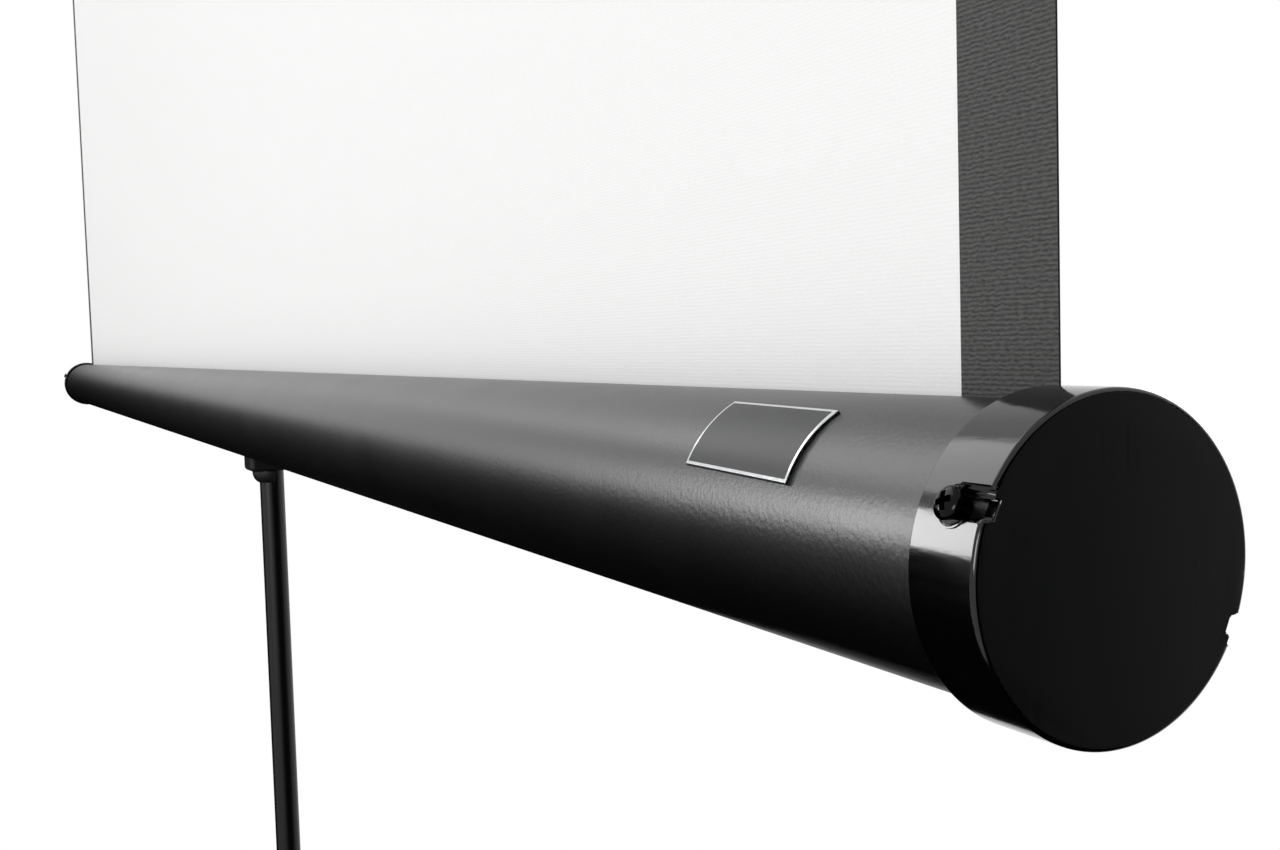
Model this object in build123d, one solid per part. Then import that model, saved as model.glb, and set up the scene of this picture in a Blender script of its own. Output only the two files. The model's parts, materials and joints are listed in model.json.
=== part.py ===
from build123d import *
from math import cos, radians, sin, sqrt
import os

# Tripod projection screen. The post stands on the Z axis and the floor is Z = 0. The case lies
# along X in front of the post (towards -Y). Every length is in millimetres.

# ---- Driving dimensions ------------------------------------------------------------------

# Fits between pieces
SLIDE_GAP = 0.3          # between pieces that slide or turn past each other
PIN_GAP = 0.06           # round a pin or shaft in its bore, on the radius
SEAT_GAP = 0.1           # between pieces that are fixed together
HEAD_ROOM = 0.4          # round a head that is closed in

# Eased edges
EDGE_EASE = 1.5          # on castings and large mouldings
TOP_ROUND = 2.5          # on the collar and the head
SMALL_EASE = 0.8         # on heads and small plugs
MOUTH_EASE = 0.4         # on the open edge of a moulded cup

# Screen
VIEW_WIDTH = 2134.0      # white picture
VIEW_HEIGHT = 1200.0
SIDE_BORDER = 30.0
TOP_BORDER = 30.0
FABRIC_THICKNESS = 0.5

# Case
CASE_RADIUS = 31.0
CASE_WALL = 1.2
CASE_TO_FABRIC = 7.8     # fabric plane behind the case axis
SLOT_WIDTH = 8.0
LIP_DEPTH = 4.5
FABRIC_TO_CAP_FACE = 23.0

# End caps and their screws
CAP_RADIUS = 33.8
CAP_LENGTH = 18.6
CAP_FACE = 3.0
CAP_EDGE_ROUND = 1.2
CAP_SLOT_WIDTH = 4.8     # at the cap's surface
CAP_SLOT_SLOPE = 1.3     # how far one wall of the slot leans in at its floor
CAP_SLOT_ANGLE = 156.0   # from +Y towards +Z, and again half a turn round
CAP_SCREW_INSET = 8.5    # from the cap's outer face
CAP_LEDGE = 1.9          # width of the step along the slot's other wall
CAP_LEDGE_DEPTH = 1.2
CAP_NOTCH_FLOOR = 0.3    # floor of the notch in the cap's face, above the cap's bore
CAP_BOSS_RADIUS = 4.1
CAP_BOSS_HEIGHT = 0.15
SCREW_HEAD_RADIUS = 3.4
SCREW_HEAD_HEIGHT = 2.4
SCREW_HEAD_ROUND = 1.45
RECESS_DEPTH = 1.45
RECESS_SPAN = 3.8
RECESS_WIDTH = 1.0
SCREW_SHANK_RADIUS = 1.9
SCREW_LENGTH = 9.0

# Roller
ROLLER_RADIUS = 13.0
ROLLER_WALL = 1.0
WOUND_RADIUS = 15.0
SPINDLE_RADIUS = 4.0
SPINDLE_FLAT = 5.0
SPINDLE_LENGTH = 14.0
PLUG_LENGTH = 24.0
PLUG_FLANGE = 2.0
SPRING_LENGTH = 420.0
SPRING_WALL = 3.0
SPRING_GAP = 1.0         # between the spring and the roller's bore
BRACKET_THICKNESS = 3.0
BRACKET_RIM = 7.0
BRACKET_RIM_WALL = 2.0
BRACKET_GAP = 1.0        # between a bracket and the roller's flange

# Top slat and its hanger
SLAT_THICKNESS = 10.0
SLAT_HEIGHT = 28.0
SLAT_WALL = 1.2
SLAT_CORNER = 3.0
SLAT_OVERHANG = 5.0
FABRIC_INSERT = 4.0      # how far the fabric's top edge reaches into the slat
HOOK_WIRE_RADIUS = 2.0
HOOK_HALF_WIDTH = 16.0
HOOK_BEND = 6.0
HOOK_RISE = 14.0         # hook bar above the slat
HANGER_WIDTH = 26.0
HANGER_HEIGHT = 20.0
HANGER_THICKNESS = 3.0
HANGER_CORNER = 3.0
SLAT_PLUG_FACE = 3.0

# Post and extension
POST_RADIUS = 11.0
POST_WALL = 1.0
POST_BOTTOM = 34.0
POST_PLUG_FACE = 5.0
POST_PLUG_GRIP = 18.0
POST_TO_CASE = 69.0      # post axis to case axis
CASE_HEIGHT = 1440.0     # case axis above the floor, at the top of its travel
POST_ABOVE_CASE = 45.0
EXTENSION_WALL = 1.0
EXTENSION_OVERLAP = 130.0
BUSH_LENGTH = 26.0
BUSH_GRIP = 10.0         # how far the bush reaches into the extension
COLLAR_RADIUS = 16.0
COLLAR_BELOW = 26.0
COLLAR_ABOVE = 8.0

# Carriage and swivel
CARRIAGE_HALF_WIDTH = 17.0
CARRIAGE_FRONT = 22.0
CARRIAGE_BACK = 15.0
CARRIAGE_UP = 18.0
CARRIAGE_DOWN = 66.0
CARRIAGE_FLARE = 11.0    # height of the concave flare down onto the front of the post
FLARE_WIDTH = 6.0
FLARE_LIP = 0.6
CARRIAGE_ROUND = 5.0
CARRIAGE_BOTTOM_ROUND = 4.0
BOSS_RADIUS = 17.5
SWIVEL_RADIUS = 5.0
SWIVEL_HEAD_RADIUS = 8.0
SWIVEL_HEAD = 3.5
SWIVEL_STOP = 2.5        # what is left between the bolt's end and the post's bore
WASHER_THICKNESS = 1.5
SADDLE_THICKNESS = 2.5
SADDLE_LENGTH = 110.0
SADDLE_HALF_HEIGHT = 16.0
SADDLE_WRAP = 55.0       # degrees to each side of the back of the case
RIVET_RADIUS = 3.5
RIVET_HEIGHT = 1.4
SADDLE_RIVET_X = 42.0
SADDLE_RIVET_ANGLE = 42.0
HANDLE_REACH = 32.0
HANDLE_GRIP_RADIUS = 6.5
HANDLE_HALF_SPAN = 33.0
HANDLE_BEND = 14.4
HANDLE_FOOT_THICKNESS = 4.0
HANDLE_FOOT_X = 10.0     # from the middle to each of a foot's two screws
HANDLE_FOOT_CORNER = 4.0
SMALL_SCREW_RADIUS = 1.8
SMALL_HEAD_RADIUS = 3.2
SMALL_HEAD = 1.6

# Tripod
FOLD_OPEN = 62.0         # leg from the vertical, degrees
LINK = 246.0             # strut length, and crown pivot to knee on the leg
PIVOT_RADIUS = 30.0      # hub and crown pivots from the post axis
HUB_PIVOT_HEIGHT = 60.0
LEG_OFFSET = 16.0        # leg tube centre outside the line of its pivots
LEG_WIDTH = 20.0
LEG_DEPTH = 12.0
LEG_WALL = 1.2
LEG_CORNER = 5.0
TONGUE = 8.0             # thickness of the lugs that take a pin
LUG_ROOT = 2.0           # how deep a lug is rooted in what carries it
LUG_FOOT = 32.0          # length of a lug along the leg tube
LUG_INSET = 2.0          # from the end of the leg tube to its first lug
STRUT_PLATE = 2.0
STRUT_HEIGHT = 12.0
STRUT_WEB_START = 17.5   # from a strut's pin to its web
EYE_RADIUS = 7.0
EAR_THICKNESS = 4.0
PIN_RADIUS = 3.0
PIN_HEAD_RADIUS = 4.6
PIN_HEAD = 1.2
FOOT_WALL = 2.5
FOOT_GRIP = 34.0         # how far the foot reaches up the leg
FOOT_TOE = 16.0          # how far the foot reaches past the end of its flat sole
HUB_RADIUS = 17.0
HUB_HEIGHT = 44.0
CROWN_RADIUS = 17.0
CROWN_HEIGHT = 40.0
STOP_RING_RADIUS = 14.5
STOP_RING_HEIGHT = 8.0

# Knobs, lever and keystone arm
KNOB_RADIUS = 14.0
KNOB_LENGTH = 15.0
KNOB_NECK_RADIUS = 6.5
KNOB_NECK = 5.0
KNOB_SHANK_RADIUS = 3.0
KNOB_LOBES = 5
LOBE_CENTRE = 18.0       # of the hollows between the lobes, from the knob's axis
LOBE_HOLLOW = 7.0
CROWN_KNOB_AZIMUTH = 30.0
CARRIAGE_KNOB_DROP = 46.0
LEVER_LENGTH = 46.0
LEVER_WIDTH = 10.0
LEVER_THICKNESS = 5.0
LEVER_PIN_RADIUS = 2.0
LEVER_PIVOT_DROP = 6.0   # pivot below the top of the post
LEVER_EAR = 3.0
ARM_WIDTH = 12.0
ARM_DEPTH = 10.0
ARM_NOTCH = 3.3
ARM_NOTCH_PITCH = 9.5
ARM_LIP = 1.6
ARM_PIN_RADIUS = 2.5
ARM_GAP = 0.5            # between the arm's eye and the head
FORK_MARGIN = 1.5        # of the head's fork round the arm's eye
HEAD_RADIUS = 13.0
HEAD_BELOW = 30.0
HEAD_ABOVE = 12.0

# ---- Places worked out from the driving dimensions ---------------------------------------

FABRIC_WIDTH = VIEW_WIDTH + 2 * SIDE_BORDER
CASE_LENGTH = FABRIC_WIDTH + 2 * FABRIC_TO_CAP_FACE
CASE_Y = -POST_TO_CASE
FABRIC_Y = CASE_Y + CASE_TO_FABRIC
CASE_BORE = CASE_RADIUS - CASE_WALL
CAP_BORE = CASE_RADIUS + SEAT_GAP
TUBE_LENGTH = CASE_LENGTH - 2 * (CAP_FACE + SEAT_GAP)
ROLLER_OFFSET = CASE_TO_FABRIC - FABRIC_THICKNESS / 2 - SLIDE_GAP - WOUND_RADIUS
BRACKET_X = FABRIC_WIDTH / 2 + PLUG_FLANGE + BRACKET_GAP
CAP_SCREW_X = CASE_LENGTH / 2 - CAP_SCREW_INSET
CAP_SLOT_ANGLES = (CAP_SLOT_ANGLE, CAP_SLOT_ANGLE + 180)

SLAT_BOTTOM = CASE_HEIGHT + CASE_RADIUS + VIEW_HEIGHT + TOP_BORDER
SLAT_TOP = SLAT_BOTTOM + SLAT_HEIGHT
SLAT_BACK = FABRIC_Y + SLAT_THICKNESS / 2
HOOK_Y = SLAT_BACK + HANGER_THICKNESS + HOOK_WIRE_RADIUS
HOOK_Z = SLAT_TOP + HOOK_RISE
HANGER_MIDDLE = HOOK_HALF_WIDTH + HANGER_WIDTH / 4
ARM_TOP = HOOK_Z - HOOK_WIRE_RADIUS - SLIDE_GAP + ARM_NOTCH
ARM_Z = ARM_TOP - ARM_DEPTH / 2
ARM_PIVOT_Y = -(COLLAR_RADIUS + ARM_DEPTH / 2 + ARM_GAP)
ARM_TIP_Y = HOOK_Y - HOOK_WIRE_RADIUS - SLIDE_GAP - ARM_LIP

POST_TOP = CASE_HEIGHT + POST_ABOVE_CASE
POST_BORE = POST_RADIUS - POST_WALL
EXTENSION_RADIUS = POST_BORE - SLIDE_GAP
EXTENSION_BOTTOM = POST_TOP - EXTENSION_OVERLAP
EXTENSION_TOP = ARM_Z + HEAD_ABOVE / 2
SLEEVE_BORE = POST_RADIUS + SLIDE_GAP

SADDLE_OUT = CASE_Y + CASE_RADIUS + SWIVEL_HEAD + 2 * HEAD_ROOM + SADDLE_THICKNESS
WASHER_FRONT = SADDLE_OUT + SLIDE_GAP
BOSS_FRONT = WASHER_FRONT + WASHER_THICKNESS
SWIVEL_END = -(SLEEVE_BORE + SWIVEL_STOP)

CROWN_PIVOT_HEIGHT = HUB_PIVOT_HEIGHT + 2 * LINK * cos(radians(FOLD_OPEN))
PLATE_IN = TONGUE / 2 + SLIDE_GAP
PLATE_OUT = PLATE_IN + STRUT_PLATE
EAR_OUT = PLATE_IN + EAR_THICKNESS
BORE = PIN_RADIUS + PIN_GAP
LEG_INNER = LEG_OFFSET - LEG_DEPTH / 2
SOLE_NEAR = (CROWN_PIVOT_HEIGHT + (LEG_INNER - FOOT_WALL) * sin(radians(FOLD_OPEN))) / cos(
    radians(FOLD_OPEN)
)
LEG_END = SOLE_NEAR - FOOT_WALL / 2
AZIMUTHS = {"rear": 90.0, "left": 210.0, "right": 330.0}

LEVER_PIVOT_X = -(COLLAR_RADIUS + LEVER_THICKNESS)
LEVER_PIVOT_Z = POST_TOP - LEVER_PIVOT_DROP


# ---- Helpers -----------------------------------------------------------------------------


def cross_section(x, y=CASE_Y, z=CASE_HEIGHT):
    """A plane across the case: its own x is +Y, its own y is +Z, and it faces +X."""
    return Plane(origin=(x, y, z), x_dir=(0, 1, 0), z_dir=(1, 0, 0))


def bar_x(sketch, x_low, x_high, y=CASE_Y, z=CASE_HEIGHT):
    """A sketch drawn across the case, carried along X from x_low to x_high."""
    return extrude(cross_section(x_low, y, z) * sketch, x_high - x_low)


def rod(radius, start, end):
    """A round rod from one point to another."""
    run = Vector(*end) - Vector(*start)
    return extrude(Plane(origin=start, z_dir=run) * Circle(radius), run.length)


def round_z(radius, low, high):
    """A round bar on the Z axis."""
    return extrude(Plane.XY.offset(low) * Circle(radius), high - low)


def tube_z(outer, inner, low, high):
    """A round tube on the Z axis."""
    return extrude(Plane.XY.offset(low) * (Circle(outer) - Circle(inner)), high - low)


def block(low, high):
    """A box between its lowest and its highest corner."""
    size = [h - l for l, h in zip(low, high)]
    middle = [(h + l) / 2 for l, h in zip(low, high)]
    return Pos(*middle) * Box(*size)


def fold_plane(half_width):
    """The radial plane of a leg before it is turned to its azimuth, half_width to one side."""
    return Plane(origin=(0, half_width, 0), x_dir=(1, 0, 0), z_dir=(0, -1, 0))


def slab(sketch, inner, outer):
    """A flat plate in a leg's radial plane, between two distances to one side of its middle."""
    return extrude(fold_plane(outer) * sketch, outer - inner)


def on_leg(shape):
    """From a leg drawn along +X from its crown pivot, outside face up, to the open leg."""
    turn = Rot(0, 90 - FOLD_OPEN, 0)
    return Pos(PIVOT_RADIUS, 0, CROWN_PIVOT_HEIGHT) * turn * shape


def on_strut(shape):
    """From a strut drawn along +X from its hub pivot to the open strut."""
    return Pos(PIVOT_RADIUS, 0, HUB_PIVOT_HEIGHT) * Rot(0, FOLD_OPEN - 90, 0) * shape


def pin_line(radius, x, z, half_length):
    """A rod along Y through a point of a leg's radial plane."""
    return rod(radius, (x, -half_length, z), (x, half_length, z))


def round_pin(x, z, half_length):
    """A pin with a low head at each end, across a leg's radial plane."""
    head = pin_line(PIN_HEAD_RADIUS, x, z, half_length + PIN_HEAD)
    between = pin_line(2 * PIN_HEAD_RADIUS, x, z, half_length)
    return pin_line(PIN_RADIUS, x, z, half_length + PIN_HEAD) + (head - between)


def at_azimuth(name, shape):
    return Rot(0, 0, AZIMUTHS[name]) * shape


def lock_knob(seat):
    """A lobed hand knob on its screw, which turns about +X, bears on the post and is let
    into a face at X = seat."""
    grip = Circle(KNOB_RADIUS)
    for turn in range(KNOB_LOBES):
        hollow = Pos(LOBE_CENTRE, 0) * Circle(LOBE_HOLLOW)
        grip -= Rot(0, 0, turn * 360 / KNOB_LOBES) * hollow
    reach = seat + SLIDE_GAP + KNOB_NECK
    head = extrude(Plane.YZ.offset(reach) * grip, KNOB_LENGTH)
    head = chamfer(head.faces().sort_by(Axis.X)[-1].edges(), EDGE_EASE)
    neck = rod(KNOB_NECK_RADIUS, (seat + SLIDE_GAP, 0, 0), (reach, 0, 0))
    shank = rod(KNOB_SHANK_RADIUS, (SLEEVE_BORE, 0, 0), (reach, 0, 0))
    return head + neck + shank


# ---- Post --------------------------------------------------------------------------------


def post_tube():
    return tube_z(POST_RADIUS, POST_BORE, POST_BOTTOM, POST_TOP)


def post_plug():
    """A moulded plug that closes the foot of the post."""
    plug = round_z(POST_RADIUS, POST_BOTTOM - POST_PLUG_FACE, POST_BOTTOM)
    plug = fillet(plug.faces().sort_by(Axis.Z)[0].edges(), EDGE_EASE)
    spigot = round_z(POST_BORE - SEAT_GAP, POST_BOTTOM, POST_BOTTOM + POST_PLUG_GRIP)
    return plug + spigot


def base_hub():
    """A cast hub fixed to the foot of the post, with a lug for each strut."""
    low = HUB_PIVOT_HEIGHT - HUB_HEIGHT / 2
    hub = tube_z(HUB_RADIUS, POST_RADIUS + SEAT_GAP, low, low + HUB_HEIGHT)
    hub = chamfer(hub.edges().filter_by(GeomType.CIRCLE).sort_by(SortBy.RADIUS)[-2:], EDGE_EASE)
    eye = Pos(PIVOT_RADIUS, HUB_PIVOT_HEIGHT) * Circle(EYE_RADIUS)
    root_height = HUB_HEIGHT - 4 * EDGE_EASE
    root = Pos(HUB_RADIUS - LUG_ROOT, HUB_PIVOT_HEIGHT) * Rectangle(LUG_ROOT, root_height)
    lug = slab(make_hull((eye + root).edges()), -TONGUE / 2, TONGUE / 2)
    lug -= pin_line(BORE, PIVOT_RADIUS, HUB_PIVOT_HEIGHT, TONGUE)
    for name in AZIMUTHS:
        hub += at_azimuth(name, lug)
    return hub


def hub_pins():
    pin = round_pin(PIVOT_RADIUS, HUB_PIVOT_HEIGHT, PLATE_OUT + SLIDE_GAP)
    return [at_azimuth(name, pin) for name in AZIMUTHS]


def crown_stop():
    """A ring pinned to the post, where the crown comes to rest with the legs open."""
    high = CROWN_PIVOT_HEIGHT - CROWN_HEIGHT / 2 - SLIDE_GAP
    ring = tube_z(STOP_RING_RADIUS, POST_RADIUS + SEAT_GAP, high - STOP_RING_HEIGHT, high)
    return chamfer(ring.edges().filter_by(GeomType.CIRCLE).sort_by(SortBy.RADIUS)[-2:], SMALL_EASE)


def post_collar():
    """The clamp collar on the top of the post, with a pair of ears for its lever."""
    low = POST_TOP - COLLAR_BELOW
    high = POST_TOP + COLLAR_ABOVE
    body = round_z(COLLAR_RADIUS, low, high)
    body = fillet(body.faces().sort_by(Axis.Z)[-1].edges(), TOP_ROUND)
    ear_reach = -LEVER_PIVOT_X
    ear_profile = Pos(LEVER_PIVOT_X, LEVER_PIVOT_Z) * Circle(LEVER_THICKNESS)
    ear_profile += Pos(-ear_reach / 2, LEVER_PIVOT_Z) * Rectangle(ear_reach, 2 * LEVER_THICKNESS)
    inner = LEVER_WIDTH / 2 + SLIDE_GAP
    outer = inner + LEVER_EAR
    body += slab(ear_profile, inner, outer)
    body += slab(ear_profile, -outer, -inner)
    body -= round_z(POST_RADIUS + SEAT_GAP, low, POST_TOP)
    body -= round_z(EXTENSION_RADIUS + SLIDE_GAP, POST_TOP, high)
    return body - pin_line(LEVER_PIN_RADIUS + PIN_GAP, LEVER_PIVOT_X, LEVER_PIVOT_Z, outer)


def lever_pin():
    outer = LEVER_WIDTH / 2 + SLIDE_GAP + LEVER_EAR
    return pin_line(LEVER_PIN_RADIUS, LEVER_PIVOT_X, LEVER_PIVOT_Z, outer)


def clamp_lever():
    """The cam lever that grips the extension: it hangs along the post when it is closed."""
    half = LEVER_THICKNESS / 2
    x = LEVER_PIVOT_X - half
    low = LEVER_PIVOT_Z - LEVER_LENGTH
    profile = Pos(LEVER_PIVOT_X, LEVER_PIVOT_Z) * Circle(LEVER_THICKNESS - SLIDE_GAP)
    blade = Pos(x, (LEVER_PIVOT_Z + low) / 2) * Rectangle(LEVER_THICKNESS, LEVER_LENGTH)
    tip = Pos(x - half, low) * Circle(LEVER_THICKNESS)
    profile += blade + tip
    lever = slab(profile, -LEVER_WIDTH / 2, LEVER_WIDTH / 2)
    return lever - pin_line(LEVER_PIN_RADIUS + PIN_GAP, LEVER_PIVOT_X, LEVER_PIVOT_Z, LEVER_WIDTH)


# ---- Tripod ------------------------------------------------------------------------------


def strut():
    """A pressed channel: two side plates that straddle its lugs, and a web between them."""
    half = STRUT_HEIGHT / 2
    plate = SlotCenterToCenter(LINK, 2 * half)
    plate = Pos(LINK / 2, 0) * plate
    sides = slab(plate, PLATE_IN, PLATE_OUT) + slab(plate, -PLATE_OUT, -PLATE_IN)
    web_length = LINK - 2 * STRUT_WEB_START
    web = Pos(LINK / 2, -half + STRUT_PLATE / 2) * Rectangle(web_length, STRUT_PLATE)
    body = sides + slab(web, -PLATE_IN, PLATE_IN)
    for x in (0, LINK):
        body -= pin_line(BORE, x, 0, 2 * PLATE_OUT)
    return on_strut(body)


def leg_tube():
    """An oval tube that runs outside the line of the leg's two pivots."""
    outline = RectangleRounded(LEG_WIDTH, LEG_DEPTH, LEG_CORNER)
    bore = RectangleRounded(LEG_WIDTH - 2 * LEG_WALL, LEG_DEPTH - 2 * LEG_WALL, LEG_CORNER - LEG_WALL)
    run = Plane(origin=(0, 0, LEG_OFFSET), x_dir=(0, 1, 0), z_dir=(1, 0, 0))
    return on_leg(extrude(run * (outline - bore), LEG_END))


def leg_lug(x, foot_x):
    """A lug welded under the leg tube, with an eye on the leg's line of pivots."""
    foot_pad = Pos(foot_x, LEG_INNER - LUG_ROOT / 2) * Rectangle(LUG_FOOT, LUG_ROOT)
    outline = make_hull((Pos(x, 0) * Circle(EYE_RADIUS) + foot_pad).edges())
    lug = slab(outline, -TONGUE / 2, TONGUE / 2)
    return on_leg(lug - pin_line(BORE, x, 0, TONGUE))


def leg_lugs():
    return [leg_lug(0, LUG_INSET + LUG_FOOT / 2), leg_lug(LINK, LINK)]


def knee_pin():
    return on_strut(round_pin(LINK, 0, PLATE_OUT))


def foot():
    """A rubber boot on the end of the leg, with its sole flat on the floor when it is open."""
    length = FOOT_GRIP + FOOT_TOE
    start = LEG_END - FOOT_GRIP
    run = Plane(origin=(start, 0, LEG_OFFSET), x_dir=(0, 1, 0), z_dir=(1, 0, 0))
    width = LEG_WIDTH + 2 * FOOT_WALL
    depth = LEG_DEPTH + 2 * FOOT_WALL
    boot = extrude(run * RectangleRounded(width, depth, LEG_CORNER + FOOT_WALL), length)
    socket = RectangleRounded(LEG_WIDTH + SEAT_GAP, LEG_DEPTH + SEAT_GAP, LEG_CORNER)
    boot -= extrude(run * socket, FOOT_GRIP + SEAT_GAP)
    boot = on_leg(boot)
    reach = boot.bounding_box().max.X
    return boot - block((0, -width, -2 * length), (2 * reach, width, 0))


def crown():
    """The sliding crown, with a pair of ears for each leg and a boss for its lock knob."""
    low = CROWN_PIVOT_HEIGHT - CROWN_HEIGHT / 2
    body = round_z(CROWN_RADIUS, low, low + CROWN_HEIGHT)
    body = chamfer(body.edges().filter_by(GeomType.CIRCLE), EDGE_EASE)
    eye = Pos(PIVOT_RADIUS, CROWN_PIVOT_HEIGHT) * Circle(EYE_RADIUS)
    root_height = CROWN_HEIGHT - 4 * EDGE_EASE
    root = Pos(CROWN_RADIUS / 2, CROWN_PIVOT_HEIGHT) * Rectangle(LUG_ROOT, root_height)
    outline = make_hull((eye + root).edges())
    for name in AZIMUTHS:
        body += at_azimuth(name, slab(outline, PLATE_IN, EAR_OUT))
        body += at_azimuth(name, slab(outline, -EAR_OUT, -PLATE_IN))
    body -= round_z(SLEEVE_BORE, low, low + CROWN_HEIGHT)
    knob_hole = rod(KNOB_SHANK_RADIUS + PIN_GAP, (0, 0, 0), (2 * CROWN_RADIUS, 0, 0))
    body -= Pos(0, 0, CROWN_PIVOT_HEIGHT) * Rot(0, 0, CROWN_KNOB_AZIMUTH) * knob_hole
    for name in AZIMUTHS:
        body -= at_azimuth(name, pin_line(BORE, PIVOT_RADIUS, CROWN_PIVOT_HEIGHT, EAR_OUT))
    return body


def crown_pins():
    pin = round_pin(PIVOT_RADIUS, CROWN_PIVOT_HEIGHT, EAR_OUT)
    return [at_azimuth(name, pin) for name in AZIMUTHS]


def crown_knob():
    return Pos(0, 0, CROWN_PIVOT_HEIGHT) * Rot(0, 0, CROWN_KNOB_AZIMUTH) * lock_knob(CROWN_RADIUS)


# ---- Carriage ----------------------------------------------------------------------------


def carriage():
    """A moulded block that slides on the post, with the swivel boss on its front."""
    low = CASE_HEIGHT - CARRIAGE_DOWN
    high = CASE_HEIGHT + CARRIAGE_UP
    body = block(
        (-CARRIAGE_HALF_WIDTH, -CARRIAGE_FRONT, low), (CARRIAGE_HALF_WIDTH, CARRIAGE_BACK, high)
    )
    body = fillet(body.edges().filter_by(Axis.Z), CARRIAGE_ROUND)
    body = fillet(body.faces().sort_by(Axis.Z)[0].edges(), CARRIAGE_BOTTOM_ROUND)
    body = chamfer(body.faces().sort_by(Axis.Z)[-1].edges(), EDGE_EASE)
    wide = POST_RADIUS + FLARE_WIDTH
    thin = SLEEVE_BORE + FLARE_LIP
    flare = make_face(
        [
            Line((0, 0), (wide, 0)),
            RadiusArc((wide, 0), (thin, -CARRIAGE_FLARE), CARRIAGE_FLARE),
            Line((thin, -CARRIAGE_FLARE), (0, -CARRIAGE_FLARE)),
            Line((0, -CARRIAGE_FLARE), (0, 0)),
        ]
    )
    skirt = revolve(Plane.XZ * flare, Axis.Z)
    skirt -= block((-wide, 0, -2 * CARRIAGE_FLARE), (wide, 2 * wide, CARRIAGE_FLARE))
    body += Pos(0, 0, low) * skirt
    body += rod(BOSS_RADIUS, (0, BOSS_FRONT, CASE_HEIGHT), (0, 0, CASE_HEIGHT))
    body -= round_z(SLEEVE_BORE, low - CARRIAGE_FLARE, high)
    body -= swivel_line(SWIVEL_RADIUS + SEAT_GAP, BOSS_FRONT, SWIVEL_END)
    knob_hole = rod(KNOB_SHANK_RADIUS + PIN_GAP, (0, 0, 0), (2 * CARRIAGE_HALF_WIDTH, 0, 0))
    return body - Pos(0, 0, CASE_HEIGHT - CARRIAGE_KNOB_DROP) * knob_hole


def swivel_line(radius, start_y, end_y):
    return rod(radius, (0, start_y, CASE_HEIGHT), (0, end_y, CASE_HEIGHT))


def thrust_washer():
    face = swivel_line(BOSS_RADIUS - 1, WASHER_FRONT, BOSS_FRONT)
    return face - swivel_line(SWIVEL_RADIUS + SEAT_GAP, WASHER_FRONT, BOSS_FRONT)


def swivel_bolt():
    """The bolt that the case turns on: its head is inside the saddle's box."""
    head_back = SADDLE_OUT - SADDLE_THICKNESS - SLIDE_GAP
    head = swivel_line(SWIVEL_HEAD_RADIUS, head_back - SWIVEL_HEAD, head_back)
    head = chamfer(head.faces().sort_by(Axis.Y)[0].edges(), SMALL_EASE)
    return head + swivel_line(SWIVEL_RADIUS, head_back, SWIVEL_END)


def carriage_knob():
    return Pos(0, 0, CASE_HEIGHT - CARRIAGE_KNOB_DROP) * lock_knob(CARRIAGE_HALF_WIDTH)


def carry_handle():
    """A bow handle with a foot at each end, on the back of the carriage."""
    mid = CASE_HEIGHT + (CARRIAGE_UP - CARRIAGE_DOWN) / 2
    out = CARRIAGE_BACK + HANDLE_REACH
    path = FilletPolyline(
        (0, CARRIAGE_BACK + HANDLE_FOOT_THICKNESS / 2, mid - HANDLE_HALF_SPAN),
        (0, out, mid - HANDLE_HALF_SPAN),
        (0, out, mid + HANDLE_HALF_SPAN),
        (0, CARRIAGE_BACK + HANDLE_FOOT_THICKNESS / 2, mid + HANDLE_HALF_SPAN),
        radius=HANDLE_BEND,
    )
    grip = sweep(Plane(origin=path @ 0, z_dir=path % 0) * Circle(HANDLE_GRIP_RADIUS), path)
    for z in (mid - HANDLE_HALF_SPAN, mid + HANDLE_HALF_SPAN):
        plate = Plane(origin=(0, CARRIAGE_BACK, z), x_dir=(1, 0, 0), z_dir=(0, 1, 0))
        width = 2 * (HANDLE_FOOT_X + HANDLE_FOOT_CORNER)
        foot_pad = RectangleRounded(width, 2 * HANDLE_GRIP_RADIUS, HANDLE_FOOT_CORNER)
        grip += extrude(plate * foot_pad, HANDLE_FOOT_THICKNESS)
    return grip - handle_screw_places(SMALL_SCREW_RADIUS + SEAT_GAP)


def handle_screw_places(radius):
    """The screws' shanks, through the handle's feet."""
    mid = CASE_HEIGHT + (CARRIAGE_UP - CARRIAGE_DOWN) / 2
    shanks = []
    for z in (mid - HANDLE_HALF_SPAN, mid + HANDLE_HALF_SPAN):
        for x in (-HANDLE_FOOT_X, HANDLE_FOOT_X):
            top = CARRIAGE_BACK + HANDLE_FOOT_THICKNESS
            shanks.append(rod(radius, (x, CARRIAGE_BACK, z), (x, top, z)))
    return shanks


def handle_screws():
    top = CARRIAGE_BACK + HANDLE_FOOT_THICKNESS
    screws = []
    for shank in handle_screw_places(SMALL_SCREW_RADIUS):
        x, _, z = shank.center()
        head = rod(SMALL_HEAD_RADIUS, (x, top, z), (x, top + SMALL_HEAD, z))
        head = fillet(head.faces().sort_by(Axis.Y)[-1].edges(), SMALL_EASE)
        screws.append(shank + head)
    return screws


# ---- Case --------------------------------------------------------------------------------


def round_the_case(angle, radius):
    """Y and Z from the case axis at an angle from +Y towards +Z."""
    return radius * cos(radians(angle)), radius * sin(radians(angle))


def spoke(radius, x, angle, inner, outer):
    """A round rod that points away from the case axis."""
    a = round_the_case(angle, inner)
    b = round_the_case(angle, outer)
    return rod(radius, (x, CASE_Y + a[0], CASE_HEIGHT + a[1]), (x, CASE_Y + b[0], CASE_HEIGHT + b[1]))


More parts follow.
